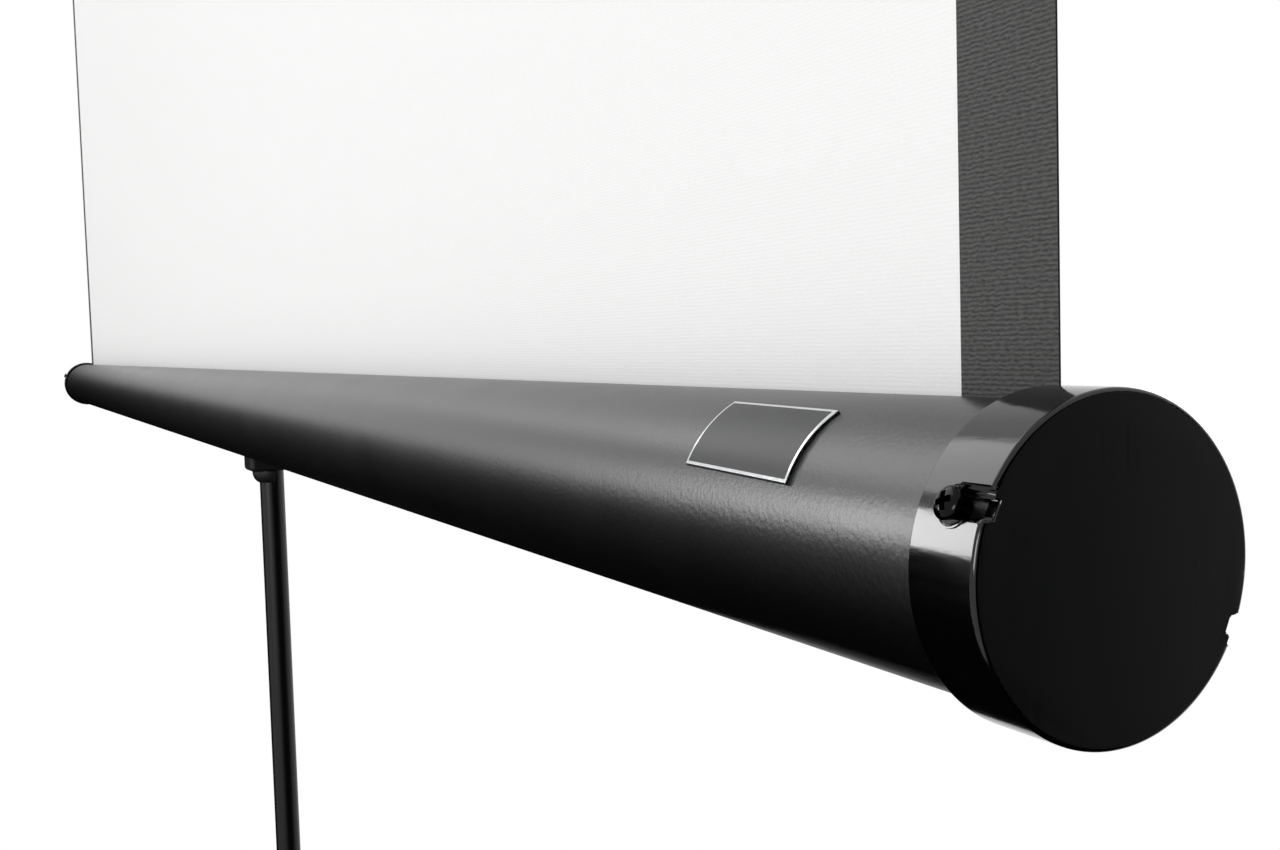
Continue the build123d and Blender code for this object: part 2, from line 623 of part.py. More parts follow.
def case_tube():
    """A rolled tube, open along its top where the fabric comes out, with turned-in lips."""
    profile = Circle(CASE_RADIUS) - Circle(CASE_BORE)
    profile -= Pos(CASE_TO_FABRIC, CASE_RADIUS) * Rectangle(SLOT_WIDTH, CASE_RADIUS)
    for side in (-1, 1):
        x = CASE_TO_FABRIC + side * (SLOT_WIDTH + CASE_WALL) / 2
        top = sqrt((CASE_RADIUS - CASE_WALL / 2) ** 2 - x**2)
        profile += Pos(x, top - LIP_DEPTH / 2) * Rectangle(CASE_WALL, LIP_DEPTH)
    tube = bar_x(profile, -TUBE_LENGTH / 2, TUBE_LENGTH / 2)
    for angle in CAP_SLOT_ANGLES:
        for x in (-CAP_SCREW_X, CAP_SCREW_X):
            tube -= spoke(SCREW_SHANK_RADIUS + PIN_GAP, x, angle, CASE_BORE / 2, CASE_RADIUS + 1)
    return tube


def end_cap():
    """The right-hand cap: a moulded cup with two screw slots that are open at its face."""
    face_x = CASE_LENGTH / 2
    inner_x = face_x - CAP_LENGTH
    cup = bar_x(Circle(CAP_RADIUS), inner_x, face_x)
    cup = fillet(cup.faces().sort_by(Axis.X)[-1].edges(), CAP_EDGE_ROUND)
    cup = fillet(cup.faces().sort_by(Axis.X)[0].edges(), MOUTH_EASE)
    inside = CAP_BORE / 2
    outside = CAP_RADIUS + CAP_BOSS_HEIGHT
    for angle in CAP_SLOT_ANGLES:
        cup += spoke(CAP_BOSS_RADIUS, CAP_SCREW_X, angle, inside, outside)
    cup -= bar_x(Circle(CAP_BORE), inner_x, face_x - CAP_FACE)
    for angle in CAP_SLOT_ANGLES:
        cup -= spoke(CAP_SLOT_WIDTH / 2, CAP_SCREW_X, angle, inside, 2 * outside)
        cup -= cap_slot(angle, CAP_SCREW_X, face_x - CAP_FACE, CAP_BORE - CAP_NOTCH_FLOOR)
        cup -= cap_slot(angle, CAP_SCREW_X, face_x + CAP_FACE, CAP_BORE + CAP_NOTCH_FLOOR)
    return cup


def cap_slot(angle, x_low, x_high, floor):
    """The room of a slot along X: one wall leans in towards the floor, the other has a step."""
    half = CAP_SLOT_WIDTH / 2
    above = CAP_RADIUS + CAP_LEDGE
    step = CAP_RADIUS - CAP_LEDGE_DEPTH
    outline = Polyline(
        (-half, CAP_RADIUS),
        (CAP_SLOT_SLOPE - half, floor),
        (half, floor),
        (half, step),
        (half + CAP_LEDGE, step),
        (half + CAP_LEDGE, above),
        (-half, above),
        close=True,
    )
    return bar_x(Rot(0, 0, angle - 90) * make_face(outline), x_low, x_high)


def cap_screws():
    """Pan-head screws through the caps' slots into the tube: a pair at each end."""
    screws = []
    under = CAP_RADIUS + CAP_BOSS_HEIGHT
    top = under + SCREW_HEAD_HEIGHT
    for x in (-CAP_SCREW_X, CAP_SCREW_X):
        for angle in CAP_SLOT_ANGLES:
            head = spoke(SCREW_HEAD_RADIUS, x, angle, under, top)
            rim = head.edges().filter_by(GeomType.CIRCLE)
            far = [e for e in rim if abs(e.center() - Vector(x, CASE_Y, CASE_HEIGHT)) > top - 0.1]
            head = fillet(far, SCREW_HEAD_ROUND)
            for turn in (0, 90):
                bar = Pos(0, 0, top) * Rot(0, 0, turn) * Box(RECESS_SPAN, RECESS_WIDTH, 2 * RECESS_DEPTH)
                head -= Pos(x, CASE_Y, CASE_HEIGHT) * Rot(angle - 90, 0, 0) * bar
            shank = spoke(SCREW_SHANK_RADIUS, x, angle, under - SCREW_LENGTH, under)
            screws.append(head + shank)
    return screws


def case_saddle():
    """A pressed saddle riveted to the back of the tube, with a box that stands off it for the
    head of the swivel bolt."""
    outside = CASE_RADIUS + SADDLE_THICKNESS
    strap = Circle(outside) - Circle(CASE_RADIUS)
    keep = Pos(outside, 0) * Rectangle(2 * outside * (1 - cos(radians(SADDLE_WRAP))), 3 * outside)
    strap &= keep
    out = SADDLE_OUT - CASE_Y
    shell = Pos(out / 2, 0) * Rectangle(out, 2 * SADDLE_HALF_HEIGHT) - Circle(CASE_RADIUS)
    room = Pos((out - SADDLE_THICKNESS) / 2, 0) * Rectangle(
        out - SADDLE_THICKNESS, 2 * (SADDLE_HALF_HEIGHT - SADDLE_THICKNESS)
    )
    saddle = bar_x((strap + shell) - room, -SADDLE_LENGTH / 2, SADDLE_LENGTH / 2)
    saddle -= swivel_line(SWIVEL_RADIUS + PIN_GAP, SADDLE_OUT - 2 * SADDLE_THICKNESS, SADDLE_OUT)
    for shank in saddle_rivet_shanks(RIVET_RADIUS / 2 + SEAT_GAP):
        saddle -= shank
    return saddle


def saddle_rivet_shanks(radius):
    shanks = []
    for x in (-SADDLE_RIVET_X, SADDLE_RIVET_X):
        for angle in (-SADDLE_RIVET_ANGLE, SADDLE_RIVET_ANGLE):
            shanks.append(spoke(radius, x, angle, CASE_RADIUS, CASE_RADIUS + SADDLE_THICKNESS))
    return shanks


def saddle_rivets():
    rivets = []
    low = CASE_RADIUS + SADDLE_THICKNESS
    for x in (-SADDLE_RIVET_X, SADDLE_RIVET_X):
        for angle in (-SADDLE_RIVET_ANGLE, SADDLE_RIVET_ANGLE):
            shank = spoke(RIVET_RADIUS / 2, x, angle, CASE_RADIUS, low)
            rivets.append(shank + spoke(RIVET_RADIUS, x, angle, low, low + RIVET_HEIGHT))
    return rivets


def bearing_bracket():
    """A cup inside the right-hand end of the tube that carries the roller's spindle."""
    outline = Circle(CASE_BORE - SEAT_GAP)
    notch_low = CASE_BORE - LIP_DEPTH - 2 * CASE_WALL
    notch = Pos(CASE_TO_FABRIC, CASE_BORE) * Rectangle(
        SLOT_WIDTH + 4 * CASE_WALL, 2 * (CASE_BORE - notch_low)
    )
    rim = outline - Circle(CASE_BORE - SEAT_GAP - BRACKET_RIM_WALL) - notch
    cup = bar_x(outline - notch, BRACKET_X, BRACKET_X + BRACKET_THICKNESS)
    return cup + bar_x(rim, BRACKET_X, BRACKET_X + BRACKET_RIM)


def spindle(flat):
    """A spindle on the roller's axis that points inwards from the right-hand bracket."""
    profile = Circle(SPINDLE_RADIUS)
    if flat:
        profile &= Rectangle(4 * SPINDLE_RADIUS, SPINDLE_FLAT)
    return bar_x(profile, BRACKET_X - SPINDLE_LENGTH, BRACKET_X, CASE_Y + ROLLER_OFFSET)


def idle_bracket():
    return mirror(bearing_bracket() + spindle(flat=False), Plane.YZ)


def spring_bracket():
    return bearing_bracket() + spindle(flat=True)


# ---- Roller ------------------------------------------------------------------------------


def roller_bar(sketch, x_low, x_high):
    return bar_x(sketch, x_low, x_high, CASE_Y + ROLLER_OFFSET)


def roller_tube():
    ring = Circle(ROLLER_RADIUS) - Circle(ROLLER_RADIUS - ROLLER_WALL)
    return roller_bar(ring, -FABRIC_WIDTH / 2, FABRIC_WIDTH / 2)


def fabric_roll():
    """The turns of fabric that stay on the roller."""
    ring = Circle(WOUND_RADIUS) - Circle(ROLLER_RADIUS)
    return roller_bar(ring, -FABRIC_WIDTH / 2, FABRIC_WIDTH / 2)


def end_plug():
    """The right-hand plug of the roller, bored for its spindle."""
    end = FABRIC_WIDTH / 2
    core = Circle(ROLLER_RADIUS - ROLLER_WALL - SEAT_GAP)
    plug = roller_bar(core, end - PLUG_LENGTH, end)
    plug += roller_bar(Circle(ROLLER_RADIUS), end, end + PLUG_FLANGE)
    depth = SPINDLE_LENGTH + SLIDE_GAP
    return plug - roller_bar(Circle(SPINDLE_RADIUS + PIN_GAP), BRACKET_X - depth, end + PLUG_FLANGE)


def idle_plug():
    return mirror(end_plug(), Plane.YZ)


def torsion_spring():
    """The space that the close-wound spring fills inside the roller."""
    outer = ROLLER_RADIUS - ROLLER_WALL - SPRING_GAP
    high = FABRIC_WIDTH / 2 - PLUG_LENGTH
    return roller_bar(Circle(outer) - Circle(outer - SPRING_WALL), high - SPRING_LENGTH, high)


# ---- Screen ------------------------------------------------------------------------------


def screen_fabric():
    half = FABRIC_WIDTH / 2
    y = FABRIC_THICKNESS / 2
    top = SLAT_BOTTOM + FABRIC_INSERT
    return block((-half, FABRIC_Y - y, CASE_HEIGHT), (half, FABRIC_Y + y, top))


def slat_bar(sketch, x_low, x_high):
    return bar_x(sketch, x_low, x_high, FABRIC_Y, (SLAT_BOTTOM + SLAT_TOP) / 2)


def top_slat():
    """A drawn tube with a slit along its lower edge that grips the fabric."""
    profile = RectangleRounded(SLAT_THICKNESS, SLAT_HEIGHT, SLAT_CORNER)
    profile -= RectangleRounded(
        SLAT_THICKNESS - 2 * SLAT_WALL, SLAT_HEIGHT - 2 * SLAT_WALL, SLAT_CORNER - SLAT_WALL
    )
    slit = FABRIC_THICKNESS + 2 * SEAT_GAP
    profile -= Pos(0, -SLAT_HEIGHT / 2) * Rectangle(slit, 4 * SLAT_WALL)
    end = FABRIC_WIDTH / 2 + SLAT_OVERHANG
    return slat_bar(profile, -end, end)


def slat_plugs():
    """A moulded plug in each end of the slat."""
    end = FABRIC_WIDTH / 2 + SLAT_OVERHANG
    outside = RectangleRounded(SLAT_THICKNESS, SLAT_HEIGHT, SLAT_CORNER)
    wall = SLAT_WALL + SEAT_GAP
    inside = Rectangle(SLAT_THICKNESS - 2 * wall, SLAT_HEIGHT - 2 * wall - 4 * SLAT_WALL)
    face = slat_bar(outside, end, end + SLAT_PLUG_FACE)
    face = chamfer(face.faces().sort_by(Axis.X)[-1].edges(), SMALL_EASE)
    plug = face + slat_bar(inside, FABRIC_WIDTH / 2 + SLIDE_GAP, end)
    return [plug, mirror(plug, Plane.YZ)]


def hanger_screw_places(radius, start_y, end_y):
    low = (SLAT_BOTTOM + SLAT_TOP - HANGER_HEIGHT) / 2
    x = HANGER_MIDDLE + HANGER_WIDTH / 4
    heights = (low + HANGER_HEIGHT * 0.25, low + HANGER_HEIGHT * 0.75)
    return [rod(radius, (x, start_y, z), (x, end_y, z)) for z in heights]


def hanger_plate():
    """A plate screwed to the back of the slat that holds the hook."""
    z = (SLAT_BOTTOM + SLAT_TOP) / 2
    face = Plane(origin=(HANGER_MIDDLE, SLAT_BACK, z), x_dir=(1, 0, 0), z_dir=(0, 1, 0))
    outline = RectangleRounded(HANGER_WIDTH, HANGER_HEIGHT, HANGER_CORNER)
    plate = extrude(face * outline, HANGER_THICKNESS)
    return plate - hanger_screw_places(SMALL_SCREW_RADIUS + SEAT_GAP, SLAT_BACK, SLAT_BACK + HANGER_THICKNESS)


def hanger_screws():
    top = SLAT_BACK + HANGER_THICKNESS
    shanks = hanger_screw_places(SMALL_SCREW_RADIUS, SLAT_BACK, top)
    heads = hanger_screw_places(SMALL_HEAD_RADIUS, top, top + SMALL_HEAD)
    return [shank + head for shank, head in zip(shanks, heads)]


def hanger_hook():
    """A wire hook: up from the hanger plate, then across behind the slat to a free end."""
    low = (SLAT_BOTTOM + SLAT_TOP) / 2 - HANGER_HEIGHT / 2
    path = FilletPolyline(
        (HOOK_HALF_WIDTH, HOOK_Y, low),
        (HOOK_HALF_WIDTH, HOOK_Y, HOOK_Z),
        (-HOOK_HALF_WIDTH, HOOK_Y, HOOK_Z),
        radius=HOOK_BEND,
    )
    return sweep(Plane(origin=path @ 0, z_dir=path % 0) * Circle(HOOK_WIRE_RADIUS), path)


# ---- Extension ---------------------------------------------------------------------------


def extension_tube():
    inner = EXTENSION_RADIUS - EXTENSION_WALL
    return tube_z(EXTENSION_RADIUS, inner, EXTENSION_BOTTOM, EXTENSION_TOP)


def guide_bush():
    """A moulded bush on the foot of the extension that runs in the post."""
    low = EXTENSION_BOTTOM - BUSH_LENGTH
    outer = POST_BORE - PIN_GAP
    inner = EXTENSION_RADIUS - EXTENSION_WALL - SEAT_GAP
    return round_z(outer, low, EXTENSION_BOTTOM) + round_z(inner, low, EXTENSION_BOTTOM + BUSH_GRIP)


def extension_head():
    """A moulded head on the extension, with a fork for the keystone arm."""
    low = ARM_Z - HEAD_BELOW
    high = ARM_Z + HEAD_ABOVE
    head = round_z(HEAD_RADIUS, low, high)
    inner = ARM_WIDTH / 2 + SLIDE_GAP
    outer = inner + EAR_THICKNESS
    half_height = ARM_DEPTH / 2 + FORK_MARGIN
    profile = Pos(ARM_PIVOT_Y, 0) * Circle(half_height)
    profile += Pos(ARM_PIVOT_Y / 2, 0) * Rectangle(-ARM_PIVOT_Y, 2 * half_height)
    for side in (-1, 1):
        x_low = min(side * inner, side * outer)
        head += bar_x(profile, x_low, x_low + EAR_THICKNESS, 0, ARM_Z)
    head = fillet(head.faces().sort_by(Axis.Z)[-1].edges(), TOP_ROUND)
    head -= round_z(EXTENSION_RADIUS + SEAT_GAP, low, EXTENSION_TOP)
    return head - arm_line(ARM_PIN_RADIUS + PIN_GAP, outer)


def arm_line(radius, half_length):
    """A rod along X through the keystone arm's pivot."""
    return rod(radius, (-half_length, ARM_PIVOT_Y, ARM_Z), (half_length, ARM_PIVOT_Y, ARM_Z))


def arm_pin():
    return arm_line(ARM_PIN_RADIUS, ARM_WIDTH / 2 + SLIDE_GAP + EAR_THICKNESS)


def keystone_arm():
    """The arm that the hook rests on, with notches for a straight and a tilted screen."""
    reach = ARM_PIVOT_Y - ARM_TIP_Y
    profile = Pos(ARM_PIVOT_Y, 0) * Circle(ARM_DEPTH / 2)
    profile += Pos(ARM_PIVOT_Y - reach / 2, 0) * Rectangle(reach, ARM_DEPTH)
    notch_half = HOOK_WIRE_RADIUS + SLIDE_GAP
    for step in range(2):
        y = HOOK_Y + step * ARM_NOTCH_PITCH
        centre = HOOK_Z - ARM_Z
        profile -= Pos(y, centre) * Circle(notch_half)
        profile -= Pos(y, centre + ARM_NOTCH) * Rectangle(2 * notch_half, 2 * ARM_NOTCH)
    arm = bar_x(profile, -ARM_WIDTH / 2, ARM_WIDTH / 2, 0, ARM_Z)
    return arm - arm_line(ARM_PIN_RADIUS + PIN_GAP, ARM_WIDTH)


# ---- Write every node --------------------------------------------------------------------

nodes = {
    "post_tube": post_tube(),
    "post_plug": post_plug(),
    "base_hub": base_hub(),
    "hub_pins": hub_pins(),
    "crown_stop": crown_stop(),
    "post_collar": post_collar(),
    "lever_pin": lever_pin(),
    "clamp_lever": clamp_lever(),
    "crown": crown(),
    "crown_pins": crown_pins(),
    "crown_knob": crown_knob(),
    "carriage": carriage(),
    "thrust_washer": thrust_washer(),
    "swivel_bolt": swivel_bolt(),
    "carriage_knob": carriage_knob(),
    "carry_handle": carry_handle(),
    "handle_screws": handle_screws(),
    "case_tube": case_tube(),
    "case_saddle": case_saddle(),
    "saddle_rivets": saddle_rivets(),
    "end_cap_right": end_cap(),
    "end_cap_left": mirror(end_cap(), Plane.YZ),
    "cap_screws": cap_screws(),
    "idle_bracket": idle_bracket(),
    "spring_bracket": spring_bracket(),
    "roller_tube": roller_tube(),
    "fabric_roll": fabric_roll(),
    "idle_plug": idle_plug(),
    "spring_plug": end_plug(),
    "torsion_spring": torsion_spring(),
    "screen_fabric": screen_fabric(),
    "top_slat": top_slat(),
    "slat_plugs": slat_plugs(),
    "hanger_plate": hanger_plate(),
    "hanger_screws": hanger_screws(),
    "hanger_hook": hanger_hook(),
    "extension_tube": extension_tube(),
    "guide_bush": guide_bush(),
    "extension_head": extension_head(),
    "arm_pin": arm_pin(),
    "keystone_arm": keystone_arm(),
}
for side in AZIMUTHS:
    nodes["strut_" + side] = at_azimuth(side, strut())
    nodes["knee_pin_" + side] = at_azimuth(side, knee_pin())
    nodes["leg_tube_" + side] = at_azimuth(side, leg_tube())
    nodes["leg_lugs_" + side] = [at_azimuth(side, lug) for lug in leg_lugs()]
    nodes["foot_" + side] = at_azimuth(side, foot())

os.makedirs("parts", exist_ok=True)
for name, shape in nodes.items():
    solids = shape if isinstance(shape, list) else [shape]
    export_step(Compound(children=[Compound(s.solids()) for s in solids]), "parts/" + name + ".step")
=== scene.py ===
import bmesh
import bpy
import json
from math import atan2, cos, pi, radians, sin
from mathutils import Matrix, Vector

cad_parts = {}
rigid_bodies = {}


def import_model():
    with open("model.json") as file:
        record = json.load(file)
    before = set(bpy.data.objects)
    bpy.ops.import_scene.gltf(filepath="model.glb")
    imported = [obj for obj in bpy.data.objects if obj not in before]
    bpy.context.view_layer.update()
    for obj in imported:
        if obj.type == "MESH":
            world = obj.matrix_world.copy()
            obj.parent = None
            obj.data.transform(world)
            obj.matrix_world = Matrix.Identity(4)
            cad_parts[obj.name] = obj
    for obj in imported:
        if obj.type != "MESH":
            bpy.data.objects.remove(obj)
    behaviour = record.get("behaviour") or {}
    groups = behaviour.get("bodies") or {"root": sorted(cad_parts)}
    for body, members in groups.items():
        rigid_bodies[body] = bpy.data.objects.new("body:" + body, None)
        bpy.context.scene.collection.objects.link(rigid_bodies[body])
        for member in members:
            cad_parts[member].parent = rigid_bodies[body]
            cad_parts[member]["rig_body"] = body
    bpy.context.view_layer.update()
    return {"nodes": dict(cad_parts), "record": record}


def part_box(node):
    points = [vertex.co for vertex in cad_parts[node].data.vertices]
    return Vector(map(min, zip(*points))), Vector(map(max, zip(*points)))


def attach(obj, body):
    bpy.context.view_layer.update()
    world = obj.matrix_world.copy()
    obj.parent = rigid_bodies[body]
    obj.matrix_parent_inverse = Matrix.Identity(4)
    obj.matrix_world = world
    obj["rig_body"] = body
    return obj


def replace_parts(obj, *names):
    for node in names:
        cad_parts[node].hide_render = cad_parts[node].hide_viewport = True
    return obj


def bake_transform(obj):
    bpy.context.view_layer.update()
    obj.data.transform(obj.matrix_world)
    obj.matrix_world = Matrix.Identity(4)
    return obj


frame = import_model()

# ---- Post -----------------------------------------------------------------------------------
# A welded steel tube, powder coated in satin black. A moulded plug closes its foot, and a
# moulded collar with a cam lever is pressed on its top.

MM = 0.001
SAME_PLACE = 0.002 * MM  # corners nearer than this are one corner
FLAT_TURN = radians(0.3)  # faces that turn less than this are one face
SHARP_TURN = radians(32)  # edges that turn more than this stay sharp


def linear(hex_colour):
    """An sRGB hex colour as linear red, green, blue and alpha."""
    parts = [int(hex_colour[i : i + 2], 16) / 255 for i in (1, 3, 5)]
    return [p / 12.92 if p <= 0.04045 else ((p + 0.055) / 1.055) ** 2.4 for p in parts] + [1.0]


def add(tree, kind, inputs={}, **settings):
    """A node with its settings, and with each input set to a value or linked to a socket."""
    node = tree.nodes.new(kind)
    for name, value in settings.items():
        setattr(node, name, value)
    for name, value in inputs.items():
        if isinstance(value, bpy.types.NodeSocket):
            tree.links.new(value, node.inputs[name])
        else:
            node.inputs[name].default_value = value
    return node


def new_material(name, colour, roughness, sockets={}):
    """A material with one Principled shader, its tree and its Object coordinates."""
    material = bpy.data.materials.new(name)
    material.use_nodes = True
    tree = material.node_tree
    shader = tree.nodes["Principled BSDF"]
    shader.inputs["Base Color"].default_value = linear(colour)
    shader.inputs["Roughness"].default_value = roughness
    for socket, value in sockets.items():
        shader.inputs[socket].default_value = value
    place = add(tree, "ShaderNodeTexCoord").outputs["Object"]
    return material, tree, shader, place


def refine(node, material, edge=0.0):
    """The CAD node's own shape with its triangles joined, its edges eased by that radius and
    its curves shaded smooth. It stands for the node and rides on the node's body."""
    source = frame["nodes"][node]
    mesh = source.data.copy()
    mesh.materials.clear()
    mesh.materials.append(material)
    work = bmesh.new()
    work.from_mesh(mesh)
    bmesh.ops.remove_doubles(work, verts=work.verts, dist=SAME_PLACE)
    bmesh.ops.dissolve_limit(work, angle_limit=FLAT_TURN, verts=work.verts, edges=work.edges)
    work.to_mesh(mesh)
    work.free()
    mesh.shade_smooth()
    mesh.set_sharp_from_angle(angle=SHARP_TURN)
    piece = bpy.data.objects.new("shown_" + node, mesh)
    bpy.context.scene.collection.objects.link(piece)
    if edge:
        ease = piece.modifiers.new("eased_edges", "BEVEL")
        ease.width = edge
        ease.segments = 2
        ease.limit_method = "ANGLE"
        ease.angle_limit = SHARP_TURN
        ease.harden_normals = True
    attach(piece, source["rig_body"])
    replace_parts(piece, node)
    return piece


# Powder coat: a satin film with a shallow orange-peel, so highlights break up softly.
powder_coat, tree, shader, place = new_material(
    "powder_coated_steel", "#050505", 0.33, {"Specular IOR Level": 0.28}
)
peel = add(tree, "ShaderNodeTexNoise", {"Vector": place, "Scale": 1 / (1.4 * MM), "Detail": 2.0})
drift = add(tree, "ShaderNodeTexNoise", {"Vector": place, "Scale": 1 / (60 * MM), "Detail": 1.0})
film = add(
    tree, "ShaderNodeMapRange", {"Value": drift.outputs["Fac"], "To Min": 0.28, "To Max": 0.38}
)
tree.links.new(film.outputs["Result"], shader.inputs["Roughness"])
bump = add(tree, "ShaderNodeBump", {"Height": peel.outputs["Fac"], "Distance": 0.02 * MM})
tree.links.new(bump.outputs["Normal"], shader.inputs["Normal"])

# Glass-filled nylon: moulded in a spark-eroded die, which leaves a fine dull grain. The grain is
# drawn several times coarser than it is, so that it can be seen.
moulded_nylon, tree, shader, place = new_material(
    "moulded_nylon_black", "#0f1010", 0.52, {"Specular IOR Level": 0.25}
)
grain = add(tree, "ShaderNodeTexVoronoi", {"Vector": place, "Scale": 1 / (0.7 * MM)})
cloud = add(tree, "ShaderNodeTexNoise", {"Vector": place, "Scale": 1 / (18 * MM), "Detail": 3.0})
dull = add(
    tree, "ShaderNodeMapRange", {"Value": cloud.outputs["Fac"], "To Min": 0.44, "To Max": 0.6}
)
tree.links.new(dull.outputs["Result"], shader.inputs["Roughness"])
bump = add(tree, "ShaderNodeBump", {"Height": grain.outputs["Distance"], "Distance": 0.03 * MM})
tree.links.new(bump.outputs["Normal"], shader.inputs["Normal"])

# Zinc plate: bright but slightly uneven, with a faint mottle from the bath.
zinc_plate, tree, shader, place = new_material(
    "zinc_plated_steel", "#b4b7b8", 0.3, {"Metallic": 1.0}
)
mottle = add(tree, "ShaderNodeTexNoise", {"Vector": place, "Scale": 1 / (2.5 * MM), "Detail": 4.0})
plate_dull = add(
    tree, "ShaderNodeMapRange", {"Value": mottle.outputs["Fac"], "To Min": 0.22, "To Max": 0.42}
)
tree.links.new(plate_dull.outputs["Result"], shader.inputs["Roughness"])
tint = add(
    tree,
    "ShaderNodeMix",
    {"Factor": mottle.outputs["Fac"], "A": linear("#a3a7a9"), "B": linear("#c6c8c7")},
    data_type="RGBA",
)
tree.links.new(tint.outputs["Result"], shader.inputs["Base Color"])

refine("post_tube", powder_coat, edge=0.25 * MM)
refine("post_plug", moulded_nylon)
refine("post_collar", moulded_nylon, edge=0.3 * MM)
refine("clamp_lever", moulded_nylon, edge=0.6 * MM)
refine("lever_pin", zinc_plate, edge=0.3 * MM)

# ---- Tripod ---------------------------------------------------------------------------------
# Three oval steel legs hang from a sliding crown. A pressed channel strut ties each leg to the
# cast hub, on pins with low heads, so that the three legs open together.

LEG_SIDES = ("rear", "left", "right")
for node in ("base_hub", "crown_stop"):
    refine(node, powder_coat, edge=0.5 * MM)
refine("crown", moulded_nylon, edge=0.4 * MM)
refine("crown_knob", moulded_nylon, edge=0.5 * MM)
for node in ("hub_pins", "crown_pins"):
    refine(node, zinc_plate, edge=0.3 * MM)
for side in LEG_SIDES:
    refine("strut_" + side, powder_coat, edge=0.5 * MM)
    refine("leg_tube_" + side, powder_coat)
    refine("leg_lugs_" + side, powder_coat, edge=0.5 * MM)
    refine("knee_pin_" + side, zinc_plate, edge=0.3 * MM)

# Each leg's own directions: X down the leg from its crown pivot, Z out of its upper face.
pivots = {}
for joint in frame["record"]["behaviour"]["joints"]:
    if "pos_m" in joint:
        pivots[joint["name"]] = Vector(joint["pos_m"])
leg_places = {}
for side in LEG_SIDES:
    knee = pivots["leg_fold_" + side]
    azimuth = atan2(knee.y, knee.x)
    spoke = Vector((cos(azimuth), sin(azimuth), 0))
    crown_pivot = spoke * pivots["crown_lift"].xy.length
    crown_pivot.z = pivots["crown_lift"].z
    down = (knee - crown_pivot).normalized()
    across = Vector((0, 0, 1)).cross(spoke)
    axes = Matrix((down, across, down.cross(across))).transposed().to_4x4()
    leg_places[side] = Matrix.Translation(crown_pivot) @ axes


def new_growth(name, sizes):
    """An empty Geometry Nodes tree with those named sizes as its inputs, and its input node."""
    tree = bpy.data.node_groups.new(name, "GeometryNodeTree")
    for label, value in sizes.items():
        whole = isinstance(value, int)
        kind = "NodeSocketInt" if whole else "NodeSocketFloat"
        tree.interface.new_socket(label, in_out="INPUT", socket_type=kind)
    tree.interface.new_socket("Geometry", in_out="OUTPUT", socket_type="NodeSocketGeometry")
    return tree, add(tree, "NodeGroupInput")


def close_growth(tree, shape, material):
    """Ends a tree: real geometry, shaded smooth, in one material."""
    real = add(tree, "GeometryNodeRealizeInstances", {"Geometry": shape})
    smooth = add(tree, "GeometryNodeSetShadeSmooth", {"Geometry": real.outputs["Geometry"]})
    coated = add(
        tree,
        "GeometryNodeSetMaterial",
        {"Geometry": smooth.outputs["Geometry"], "Material": material},
    )
    add(tree, "NodeGroupOutput", {"Geometry": coated.outputs["Geometry"]})


def grow(name, tree, sizes, places, body):
    """A plain mesh grown by a tree at each of those places, as one piece on that body."""
    seed = bpy.data.objects.new(name, bpy.data.meshes.new(name))
    bpy.context.scene.collection.objects.link(seed)
    growth = seed.modifiers.new("growth", "NODES")
    growth.node_group = tree
    for socket in tree.interface.items_tree:
        if socket.in_out == "INPUT":
            growth[socket.identifier] = sizes[socket.name]
    bpy.context.view_layer.update()
    grown = seed.evaluated_get(bpy.context.evaluated_depsgraph_get())
    one = bpy.data.meshes.new_from_object(grown)
    seed.modifiers.remove(growth)
    whole = bmesh.new()
    for spot in places:
        copy = one.copy()
        copy.transform(spot)
        whole.from_mesh(copy)
    for face in whole.faces:
        face.material_index = 0
    seed.data.materials.append([coat for coat in one.materials if coat][0])
    whole.to_mesh(seed.data)
    whole.free()
    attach(seed, body)
    return seed


# Weld beads: a lug is fused to its tube by a run of overlapping ripples along each side. Each leg
# has a lug at its crown pivot and one at its knee.
LUG_HALF = 4 * MM  # half of a lug's thickness
TUBE_FACE = 10 * MM  # above the line of the leg's pivots
BEAD_PAST_CROWN = 3.5 * MM
BEAD_BEFORE_KNEE = 14.5 * MM
bead = {"Ripples": 24, "Pitch": 1.25 * MM, "Radius": 1.35 * MM}
tree, sizes = new_growth("weld_bead", bead)
step = add(tree, "ShaderNodeCombineXYZ", {"X": sizes.outputs["Pitch"]})
row = add(
    tree,
    "GeometryNodeMeshLine",
    {"Count": sizes.outputs["Ripples"], "Offset": step.outputs["Vector"]},
)
ripple = add(
    tree,
    "GeometryNodeMeshUVSphere",
    {"Segments": 8, "Rings": 6, "Radius": sizes.outputs["Radius"]},
)
swell = add(tree, "FunctionNodeRandomValue", {2: 0.82, 3: 1.08, "Seed": 5}, data_type="FLOAT")
run = add(
    tree,
    "GeometryNodeInstanceOnPoints",
    {"Points": row.outputs["Mesh"], "Instance": ripple.outputs["Mesh"], "Scale": swell.outputs[1]},
)
close_growth(tree, run.outputs["Instances"], powder_coat)
link = (pivots["leg_fold_rear"] - leg_places["rear"].translation).length
for side in LEG_SIDES:
    spots = []
    for along in (BEAD_PAST_CROWN, link - BEAD_BEFORE_KNEE):
        for flank in (-LUG_HALF, LUG_HALF):
            spots.append(leg_places[side] @ Matrix.Translation((along, flank, TUBE_FACE)))
    grow("weld_beads_" + side, tree, bead, spots, "leg_" + side)

